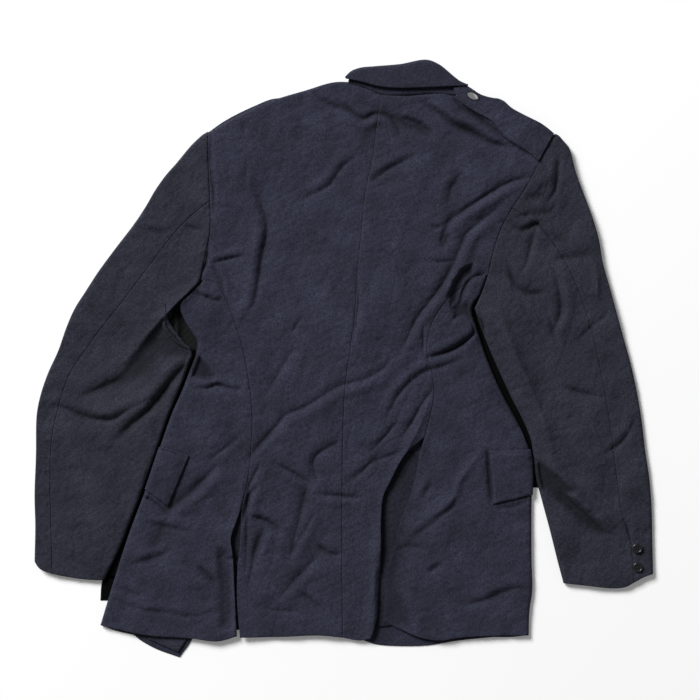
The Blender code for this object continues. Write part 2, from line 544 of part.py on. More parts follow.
def build_collar():
    """The leaf folded over the back of the neck, and the stand inside it."""
    cols = 12

    def leaf_top(factor):
        return COLLAR_MIDDLE + COLLAR_RISE * factor

    def leaf_low(factor):
        return COLLAR_MIDDLE - COLLAR_FALL * factor

    roll = spaced(COLLAR_ROLL, cols)
    across = [FOLD_RADIUS * (1 - math.cos(math.radians(a))) for a in ROLL_ANGLES[1:]]
    leaf = spaced(COLLAR_LEAF, cols)
    low = spaced(COLLAR_UNDER, cols)
    grid = np.zeros((cols + 1, 3 + 3 + 1 + 2, 3))
    for i in range(cols + 1):
        way = leaf[i] - roll[i]
        depth = max(np.linalg.norm(way), 0.1)
        way = way / depth
        reach = min(1.0, depth / 20.0)
        stops = [(depth, 1.0), (depth * 0.6, 1.0)]
        stops += [(d * reach, math.sin(math.radians(a))) for d, a in zip(across[::-1], ROLL_ANGLES[:0:-1])]
        stops.append((0.0, 0.0))
        for k, (d, f) in enumerate(stops):
            grid[i, k] = (*(roll[i] + way * d), leaf_top(f))
        under_way = low[i] - roll[i]
        for k, a in enumerate(ROLL_ANGLES[1:]):
            f = 1 - math.cos(math.radians(a))
            height = leaf_low(math.sin(math.radians(a)))
            grid[i, len(stops) + k] = (*(roll[i] + under_way * f), height)
    cloth("collar_leaf", grid, COLLAR_WALL, "wool_collar")

    neck = spaced(STAND_NECK, cols)
    head = spaced(STAND_TOP, cols)
    rows = 3
    ends = np.linspace(neck[0], head[0], rows + 1), np.linspace(neck[-1], head[-1], rows + 1)
    plan = coons(ends[0], ends[1], neck, head)
    grid = np.zeros((cols + 1, rows + 1, 3))
    for i in range(cols + 1):
        for j in range(rows + 1):
            x, y = plan[i, j]
            grid[i, j] = (x, y, STAND_HEIGHT)
    cloth("collar_stand", grid, BODY_WALL, "wool_collar")


def build_straps():
    """Shoulder straps: the right one lies on the shoulder, the left one under it on the table."""
    lower_line = spaced(RIGHT_STRAP_LOWER, 12)
    upper_line = spaced(RIGHT_STRAP_UPPER, 12)
    ends = np.linspace(lower_line[0], upper_line[0], 6), np.linspace(lower_line[-1], upper_line[-1], 6)
    plan = coons(lower_line, upper_line, ends[0], ends[1])
    grid = np.zeros((plan.shape[0], plan.shape[1], 3))
    for i in range(plan.shape[0]):
        for j in range(plan.shape[1]):
            x, y = plan[i, j]
            base = max(top_height(x, y), FLAT_TOP + CHEST_LIFT + 2.0)
            grid[i, j] = (x, y, base + STRAP_WALL + 2 * PLY_GAP)
    strap = cloth("strap_right", grid, STRAP_WALL, "wool_back")
    x, y, long, wide, turn = STRAP_HOLE
    bpy.ops.mesh.primitive_cylinder_add(vertices=24, radius=1.0, depth=0.06,
                                        location=(x * MM, y * MM, 0.015))
    cutter = bpy.context.object
    cutter.name = "strap_buttonhole_cutter"
    cutter.scale = (long / 2 * MM, wide / 2 * MM, 1.0)
    cutter.rotation_euler = (0, 0, math.radians(turn))
    hide_cutter(cutter)
    cut = strap.modifiers.new("buttonhole", "BOOLEAN")
    cut.operation = "DIFFERENCE"
    cut.solver = "EXACT"
    cut.object = cutter

    lower_line = spaced(LEFT_STRAP_LOWER, 6)
    upper_line = spaced(LEFT_STRAP_UPPER, 6)
    ends = np.linspace(lower_line[0], upper_line[0], 3), np.linspace(lower_line[-1], upper_line[-1], 3)
    plan = coons(lower_line, upper_line, ends[0], ends[1])
    flat_piece("strap_left", plan, 0.0, 2.2, "wool_back")


def flat_piece(name, plan, base, wall, slot):
    """A flat piece whose under face is at the height base."""
    out = np.zeros((plan.shape[0], plan.shape[1], 3))
    out[:, :, :2] = plan
    out[:, :, 2] = base + wall
    obj = cloth(name, out, wall, slot)
    up = sum(p.normal.z for p in obj.data.polygons)
    if up < 0:
        obj.data.flip_normals()
    return obj


def hide_cutter(cutter):
    """Move a cutter to its own hidden collection."""
    for holder in list(cutter.users_collection):
        holder.objects.unlink(cutter)
    collection(CUTTERS, hidden=True).objects.link(cutter)
    cutter.hide_render = True
    cutter.display_type = "WIRE"


def build_flaps():
    """Pocket flaps, laid on the side panels and turned round the side folds."""
    for name, rear, fold, span in (
        ("flap_left", LEFT_FLAP_REAR, LEFT_FOLD, LEFT_FLAP_SPAN),
        ("flap_right", RIGHT_FLAP_REAR, RIGHT_FOLD, RIGHT_FLAP_SPAN),
    ):
        line, _ = smooth(fold)
        keep = line[(line[:, 1] <= span[0]) & (line[:, 1] >= span[1])]
        rows = 6
        fold_line = spaced(keep[::8], rows)
        rear_line = spaced(rear, rows)
        cols = 4
        grid = np.zeros((cols + 3, rows + 1, 3))
        lift = 2.6 * PLY_GAP + FLAP_WALL
        for j in range(rows + 1):
            way = fold_line[j] - rear_line[j]
            length = np.linalg.norm(way)
            way = way / length
            for i in range(cols + 1):
                x, y = rear_line[j] + way * (length - FOLD_RADIUS) * i / cols
                grid[i, j] = (x, y, upper(x, y, 1.0) + lift)
            for k, a in enumerate((65.0, 35.0)):
                turn = math.radians(a)
                x, y = fold_line[j] - way * FOLD_RADIUS * (1 - math.cos(turn))
                z = upper(x, y, math.sin(turn)) + lift * math.sin(turn)
                x, y = np.array((x, y)) + way * lift * math.cos(turn)
                grid[cols + 1 + k, j] = (x, y, z)
        cloth(name, grid, FLAP_WALL, "wool_back")


def build_inner_pieces():
    """Vent underlaps, the left facing, lapels and the strip of lining beside the left fold."""
    for name, out, inn in (
        ("vent_underlap_left", LEFT_UNDERLAP_OUT, LEFT_UNDERLAP_IN),
        ("vent_underlap_right", RIGHT_UNDERLAP_OUT, RIGHT_UNDERLAP_IN),
    ):
        rows = 7
        a, b = spaced(out, rows), spaced(inn, rows)
        plan = coons(a, b, np.linspace(a[0], b[0], 4), np.linspace(a[-1], b[-1], 4))
        flat_piece(name, plan, 3.5, 1.2, "wool_back")
    rows = 10
    a, b = spaced(LEFT_FACING_BACK, rows), spaced(LEFT_FACING_EDGE, rows)
    plan = coons(a, b, np.linspace(a[0], b[0], 3), np.linspace(a[-1], b[-1], 3))
    grid = np.zeros((plan.shape[0], plan.shape[1], 3))
    for i in range(plan.shape[0]):
        for j in range(plan.shape[1]):
            x, y = plan[i, j]
            grid[i, j] = (x, y, table_lift(x, y) + FRONT_WALL + PLY_GAP + 1.3)
    facing = cloth("facing_left", grid, 1.3, "wool_sleeve")
    if sum(p.normal.z for p in facing.data.polygons) < 0:
        facing.data.flip_normals()
    for name, roll, edge in (
        ("lapel_left", LEFT_LAPEL_ROLL, LEFT_LAPEL_EDGE),
        ("lapel_right", RIGHT_LAPEL_ROLL, RIGHT_LAPEL_EDGE),
    ):
        a, b = spaced(roll, 5), spaced(edge, 5)
        plan = coons(a, b, np.linspace(a[0], b[0], 3), np.linspace(a[-1], b[-1], 3))
        flat_piece(name, plan, 0.0, 2.2, "wool_collar")
    a, b = spaced(LINING_OUT, 12), spaced(LINING_IN, 12)
    plan = coons(a, b, np.linspace(a[0], b[0], 3), np.linspace(a[-1], b[-1], 3))
    flat_piece("lining_left", plan, 0.0, LINING_WALL, "lining")


def build_buttons():
    """Two cuff buttons, each turned from its half section and pierced by four holes."""
    for name, (x, y) in CUFF_BUTTONS.items():
        mesh = bpy.data.meshes.new(name)
        points = [(r * MM, 0.0, z * MM) for r, z in BUTTON_PROFILE]
        mesh.from_pydata(points, [(k, k + 1) for k in range(len(points) - 1)], [])
        button = bpy.data.objects.new(name, mesh)
        collection(COLLECTION).objects.link(button)
        button.data.materials.append(material("button"))
        base = top_height(x, y) + 0.3
        button.location = (x * MM, y * MM, base * MM)
        turned = button.modifiers.new("turned", "SCREW")
        turned.angle = math.tau
        turned.steps = BUTTON_STEPS
        turned.render_steps = BUTTON_STEPS
        turned.use_merge_vertices = True
        turned.merge_threshold = 0.00001
        turned.use_normal_calculate = True
        turned.use_normal_flip = True
        cutter_mesh = bpy.data.meshes.new(name + "_holes")
        work = bmesh.new()
        for k in range(4):
            angle = math.radians(45 + 90 * k)
            made = bmesh.ops.create_cone(work, segments=8, radius1=BUTTON_HOLE_RADIUS * MM,
                                         radius2=BUTTON_HOLE_RADIUS * MM, depth=0.01, cap_ends=True)
            bmesh.ops.translate(work, verts=made["verts"],
                                vec=(BUTTON_HOLE_REACH * MM * math.cos(angle),
                                     BUTTON_HOLE_REACH * MM * math.sin(angle), 0.0))
        work.to_mesh(cutter_mesh)
        work.free()
        holes = bpy.data.objects.new(name + "_holes", cutter_mesh)
        holes.location = button.location
        bpy.context.scene.collection.objects.link(holes)
        hide_cutter(holes)
        cut = button.modifiers.new("holes", "BOOLEAN")
        cut.operation = "DIFFERENCE"
        cut.solver = "EXACT"
        cut.object = holes


def main():
    """Clear the scene and build every piece."""
    for obj in list(bpy.data.objects):
        bpy.data.objects.remove(obj, do_unlink=True)
    build_body()
    build_sleeves()
    build_collar()
    build_straps()
    build_flaps()
    build_inner_pieces()
    build_buttons()


CREASE_LINES = [(np.array(points, float), height, width) for points, height, width in CREASES]
main()
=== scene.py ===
"""A navy wool service dress jacket, laid face down on a table with its back up.

Tables are in millimetres and the scene is in metres. X runs across the jacket to the right arm,
Y runs up the back to the collar, Z is up and the table is Z = 0. Each cut piece of cloth is a
fine grid bent to its outline and its creases, then given the thickness of its cloth.
"""

import logging
import math
from dataclasses import dataclass, field
from enum import Enum
from typing import Callable, Optional, Sequence

import bmesh
import bpy
import numpy as np
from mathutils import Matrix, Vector


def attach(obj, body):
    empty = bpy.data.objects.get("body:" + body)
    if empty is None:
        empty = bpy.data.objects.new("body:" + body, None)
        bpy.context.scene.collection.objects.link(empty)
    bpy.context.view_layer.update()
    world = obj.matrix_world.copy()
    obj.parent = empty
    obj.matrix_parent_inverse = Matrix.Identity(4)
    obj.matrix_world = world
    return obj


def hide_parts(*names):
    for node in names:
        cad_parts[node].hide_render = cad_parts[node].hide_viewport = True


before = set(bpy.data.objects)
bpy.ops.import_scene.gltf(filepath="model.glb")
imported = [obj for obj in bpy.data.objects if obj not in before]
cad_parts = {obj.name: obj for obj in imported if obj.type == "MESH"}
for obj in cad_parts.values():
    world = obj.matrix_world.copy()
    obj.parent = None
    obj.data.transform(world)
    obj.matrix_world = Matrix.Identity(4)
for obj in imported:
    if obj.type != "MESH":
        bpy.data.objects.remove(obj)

LOG = logging.getLogger("service_dress_jacket")

MM = 0.001
TABLE = "table_top"
UP = Vector((0, 0, 1))
DOWN = Vector((0, 0, -1))

# The folded jacket, in mm.
FLAT_TOP = 9.2
FOLD_RADIUS = 6.0
FOLD_MIDDLE = 4.5
FOLD_LEAST = 3.9
CHEST_LIFT = 2.6
CHEST_TO = 66.0
DEEPEST_CREASE = 6.0
CLOTH = 1.2
NARROWEST_CUT = 11.0
# From the line where a trough looks darkest to its deepest line.
SHADED_SIDE = (2.4, -2.6)

Point = tuple[float, float]
Points = list[Point]


@dataclass(frozen=True)
class Crease:
    """A crease in the cloth, in mm.

    The points of a trough run where it looks darkest, and its deepest line lies SHADED_SIDE from
    there. Those of a roll, whose depth is below nought, run along its top. left and right are the
    half widths on either side of the run. ridge is the height of the roll of cloth beside it, at
    the distance beside, positive to the left.
    """

    points: Points
    depth: float
    left: float
    right: float
    ridge: float = 0.0
    beside: float = 8.0


@dataclass(frozen=True)
class Hollow:
    """A place where the cloth falls away inside an outline, in mm."""

    outline: Points
    depth: float
    slope: float


@dataclass(frozen=True)
class Mound:
    """A round swell of cloth, in mm."""

    centre: Point
    across: float
    along: float
    height: float


@dataclass(frozen=True)
class Half:
    """The outlines of one half of the jacket, points (x, y) in mm.

    Long ones run from the top down, the shoulder and the hem from west to east, the cuffs away from
    the hind seam, and the other short ones from the arm inwards. Those named low, and those of the
    front, belong to the layer on the table.
    """

    side: str
    shoulder: Points
    hem: Points
    armhole_top: Points
    armhole_mid: Points
    armhole_low: Points
    seam_head: Points
    seam: Points
    vent_back: Points
    vent_side: Points
    fold: Points
    side_hem: Points
    arm_outer: Points
    arm_inner: Points
    arm_hind: Points
    arm_under: Points
    cuff_outer: Points
    cuff_inner: Points
    cuff_low_outer: Points
    cuff_low_inner: Points
    low_armhole_top: Points
    low_armhole_mid: Points
    low_armhole_low: Points
    front_seam_head: Points
    front_seam: Points
    low_side_hem: Points
    front_hem: Points
    neck: Points
    front_edge: Points
    lapel_roll: Points
    lapel_edge: Points
    flap_rear: Points
    flap_span: Point
    underlap_out: Points
    underlap_in: Points


LEFT = Half(
    side="left",
    shoulder=[(-187, 313), (-147, 335), (-101, 356), (-52, 371), (-14, 382), (9, 382), (26, 377),
        (52, 367)],
    hem=[(-143, -385), (-88, -384), (-32, -382), (-1, -385)],
    armhole_top=[(-187, 313), (-186, 268), (-184, 219)],
    armhole_mid=[(-184, 219), (-184, 175), (-190, 144), (-197, 108)],
    armhole_low=[(-197, 108), (-201, 103)],
    seam_head=[(-197, 108), (-185, 108.5), (-172, 103)],
    seam=[(-172, 103), (-159, 75), (-143, 29), (-132, -22), (-126, -77), (-128, -126), (-132, -167),
        (-141, -206)],
    vent_back=[(-141, -206), (-143, -257), (-146, -284), (-147, -333), (-143, -385)],
    vent_side=[(-141, -206), (-148, -225), (-155, -247), (-152, -275), (-150, -320), (-148, -360),
        (-147, -383)],
    fold=[(-196.4, 107), (-205, 98), (-216, 87), (-226.5, 75), (-219.5, 54), (-209, 37), (-202, 25),
        (-203, 10), (-212, -15), (-224, -46), (-237, -75), (-253, -120), (-273, -179), (-297, -243),
        (-317, -305), (-336, -368)],
    side_hem=[(-336, -368), (-306, -375), (-267, -382), (-212, -386), (-173, -390), (-147, -383)],
    arm_outer=[(-187, 314), (-194, 310), (-202, 303), (-212, 293), (-231, 270), (-246, 253), (-262, 230),
        (-271, 214), (-288, 188), (-317, 150), (-339, 120), (-357, 92), (-371, 70), (-383, 43), (-394, 12),
        (-409, -21), (-419, -51), (-424, -77), (-425, -132), (-427, -188), (-426, -229), (-427, -280)],
    arm_inner=[(-201, 103), (-222, 83), (-237, 68), (-247.5, 54), (-248.5, 44), (-240, 31), (-228, 20),
        (-209, 9), (-215, -12), (-227, -43), (-240.5, -75), (-256.5, -120), (-272.5, -167), (-291, -215),
        (-309, -261), (-331, -306)],
    arm_hind=[(-184, 219), (-219, 189), (-239, 167), (-270, 126), (-304, 81), (-331, 47), (-357, 12),
        (-378, -20), (-392, -60), (-402, -105), (-405, -160), (-404, -220), (-402, -297)],
    arm_under=[(-187, 190), (-235, 110), (-280, 40), (-320, -40), (-350, -120), (-368, -200), (-378, -302)],
    cuff_outer=[(-402, -297), (-419, -290), (-427, -280)],
    cuff_inner=[(-402, -297), (-382, -301), (-353, -305), (-331, -306)],
    cuff_low_outer=[(-427, -280), (-419, -290), (-402, -297), (-378, -302)],
    cuff_low_inner=[(-331, -306), (-353, -305), (-378, -302)],
    low_armhole_top=[(-187, 313), (-186, 260), (-187, 190)],
    low_armhole_mid=[(-187, 190), (-190, 150), (-197, 108)],
    low_armhole_low=[(-197, 108), (-201, 103)],
    front_seam_head=[(-197, 108), (-186, 108), (-174, 103)],
    front_seam=[(-174, 103), (-162, 55), (-165, 0), (-190, -90), (-225, -190), (-262, -290), (-290, -382)],
    low_side_hem=[(-336, -368), (-318, -376), (-290, -384)],
    front_hem=[(-290, -384), (-281, -391), (-260, -402), (-227, -413)],
    neck=[(-186.5, 313), (-147, 335), (-101, 356), (-52, 371), (-14, 382), (5, 381)],
    front_edge=[(5, 381), (0, 288), (-10, 200), (-25, 100), (-62, -57), (-143, -236), (-208, -386),
        (-227, -413)],
    lapel_roll=[(-8, 330), (-16, 240), (-26, 150), (-34, 70)],
    lapel_edge=[(-54, 322), (-92, 256), (-78, 160), (-44, 70)],
    flap_rear=[(-213, -134), (-228, -170), (-242, -204)],
    flap_span=(-121, -181),
    underlap_out=[(-162, -214), (-162, -290), (-162, -376)],
    underlap_in=[(-120, -206), (-118, -290), (-118, -372)],
)
RIGHT = Half(
    side="right",
    shoulder=[(52, 367), (85, 366), (119, 368), (147, 369), (175, 352), (204, 342), (237, 331), (266, 316),
        (286, 303)],
    hem=[(-1, -385), (23, -389), (38, -386)],
    armhole_top=[(285, 301), (268, 268), (249, 233), (232, 208)],
    armhole_mid=[(232, 208), (218, 182), (210, 160), (205, 142), (199, 115)],
    armhole_low=[(199, 115), (191, 92), (181, 70)],
    seam_head=[(199, 115), (189, 115.5), (178, 111)],
    seam=[(178, 111), (162, 99), (141, 79), (121, 47), (115, 12), (122, -18), (125, -50), (120, -77),
        (112, -108)],
    vent_back=[(112, -108), (85, -132), (64, -170), (55, -190), (52, -222), (52, -264), (49, -319),
        (46, -360), (38, -386)],
    vent_side=[(112, -108), (105, -132), (100, -160), (90, -195), (78, -226), (71, -257), (63, -283),
        (58, -319), (55, -363)],
    fold=[(198, 114), (190, 92), (177, 70), (184, 43), (194, 12), (209, -26), (224, -57), (239, -84),
        (252, -112), (259, -132), (261, -160), (260, -195), (260, -277), (261, -319), (257, -349),
        (256, -382)],
    side_hem=[(256, -382), (216, -382), (161, -385), (133, -389), (106, -385), (78, -373), (55, -363)],
    arm_outer=[(286, 304), (291, 311), (297, 308.8), (303, 302), (312, 291), (315.5, 279), (321, 258),
        (331, 230), (343, 198), (353, 164), (358, 134), (368, 98), (377, 65), (387, 29), (397, -7),
        (405, -43), (412, -84), (417, -126), (423, -167), (426, -208), (427, -257), (428, -297)],
    arm_inner=[(181, 70), (190, 43), (202.5, 12), (219, -25), (234, -57), (248, -84), (259, -112),
        (263, -139), (266, -164), (274, -195), (285, -236), (296, -280), (304, -310)],
    arm_hind=[(232, 208), (262, 190), (296, 150), (322, 100), (342, 40), (356, -20), (368, -90),
        (377, -160), (385, -215), (394, -240), (398, -265), (401, -309)],
    arm_under=[(218, 195), (250, 120), (280, 40), (306, -30), (330, -110), (346, -200), (352, -315)],
    cuff_outer=[(401, -309), (416, -301), (428, -297)],
    cuff_inner=[(401, -309), (390, -315), (373, -317), (333, -313), (304, -310)],
    cuff_low_outer=[(428, -297), (416, -301), (401, -309), (373, -316), (352, -315)],
    cuff_low_inner=[(304, -310), (333, -313), (352, -315)],
    low_armhole_top=[(285, 301), (262, 262), (238, 226), (218, 195)],
    low_armhole_mid=[(218, 195), (209, 155), (199, 115)],
    low_armhole_low=[(199, 115), (191, 92), (181, 70)],
    front_seam_head=[(199, 115), (189, 115), (178, 110)],
    front_seam=[(178, 110), (157, 60), (155, 0), (180, -70), (205, -140), (212, -230), (212, -320),
        (208, -385)],
    low_side_hem=[(256, -382), (235, -386), (208, -388)],
    front_hem=[(208, -388), (161, -392), (120, -398), (92, -399), (45, -396), (20, -388), (-20, -384)],
    neck=[(286, 303), (266, 316), (237, 331), (204, 342), (175, 352), (150, 366)],
    front_edge=[(150, 366), (120, 300), (66, 180), (14, 60), (-18, -60), (-30, -200), (-20, -384)],
    lapel_roll=[(142, 330), (104, 240), (66, 150), (32, 72)],
    lapel_edge=[(190, 308), (192, 240), (140, 140), (44, 68)],
    flap_rear=[(199, -127), (203, -165), (205, -201)],
    flap_span=(-124, -188),
    underlap_out=[(118, -128), (112, -200), (92, -280), (86, -366)],
    underlap_in=[(70, -128), (28, -200), (24, -280), (22, -376)],
)

# The middle of the back, the collar, the shoulder straps, the left facing and the cuff.
CENTRE_SEAM = [(52, 367), (46, 320), (41, 280), (31, 233), (26, 185), (20, 126), (16, 65), (9, 12),
               (2, -40), (-1, -112), (-2, -195), (-2, -291), (-1, -385)]
COLLAR_ROLL = [(2, 389), (10, 397), (23, 402), (43, 404), (78, 407), (115, 413), (133, 406), (142, 399),
               (160, 384), (172, 378)]
COLLAR_LEAF = [(3, 386), (23, 382), (50, 375), (78, 373), (119, 374), (150, 375.5), (171, 376.5)]
COLLAR_UNDER = [(6, 387), (22, 392), (45, 394), (78, 396), (113, 400), (135, 394), (155, 382), (169, 376.5)]
STAND_NECK = [(6, 380), (28, 375), (52, 365), (85, 364), (119, 366), (147, 365), (167, 362)]
STAND_TOP = [(8, 389), (26, 395), (52, 397), (85, 399), (113, 402), (135, 396), (164, 378)]
RIGHT_STRAP_LOWER = [(151, 374), (161, 355), (180, 341), (201, 329.5), (209, 322), (217.5, 308.5),
                     (232, 298), (256, 283), (268, 272)]
RIGHT_STRAP_UPPER = [(168, 378), (176, 373), (189.5, 364.5), (205, 360), (213, 359), (221, 355.5),
                     (232, 346), (252, 335), (274, 323.5), (290, 311)]
LEFT_STRAP_UPPER = [(-187, 313.4), (-168, 327), (-147, 338.8), (-122, 350.5), (-101, 359), (-88, 361)]
LEFT_STRAP_LOWER = [(-160, 262), (-120, 290), (-80, 312), (-66, 318)]
FACING_EDGE = [(-168, -250), (-188, -320), (-209, -375), (-228, -406)]
FACING_BACK = [(-218, -250), (-238, -320), (-252, -355), (-271, -387)]
CUFF_BUTTONS = {"cuff_button_upper": (405, -261), "cuff_button_lower": (406, -287)}

# Folds of the lining in the left armpit: points, height and half width.
ARMPIT_FOLDS = [([(-238, 54), (-237, 38), (-230, 25), (-218, 17), (-209, 12)], 6.0, 2.6),
                ([(-233, 60), (-230, 46), (-231, 34)], 4.5, 5.0)]

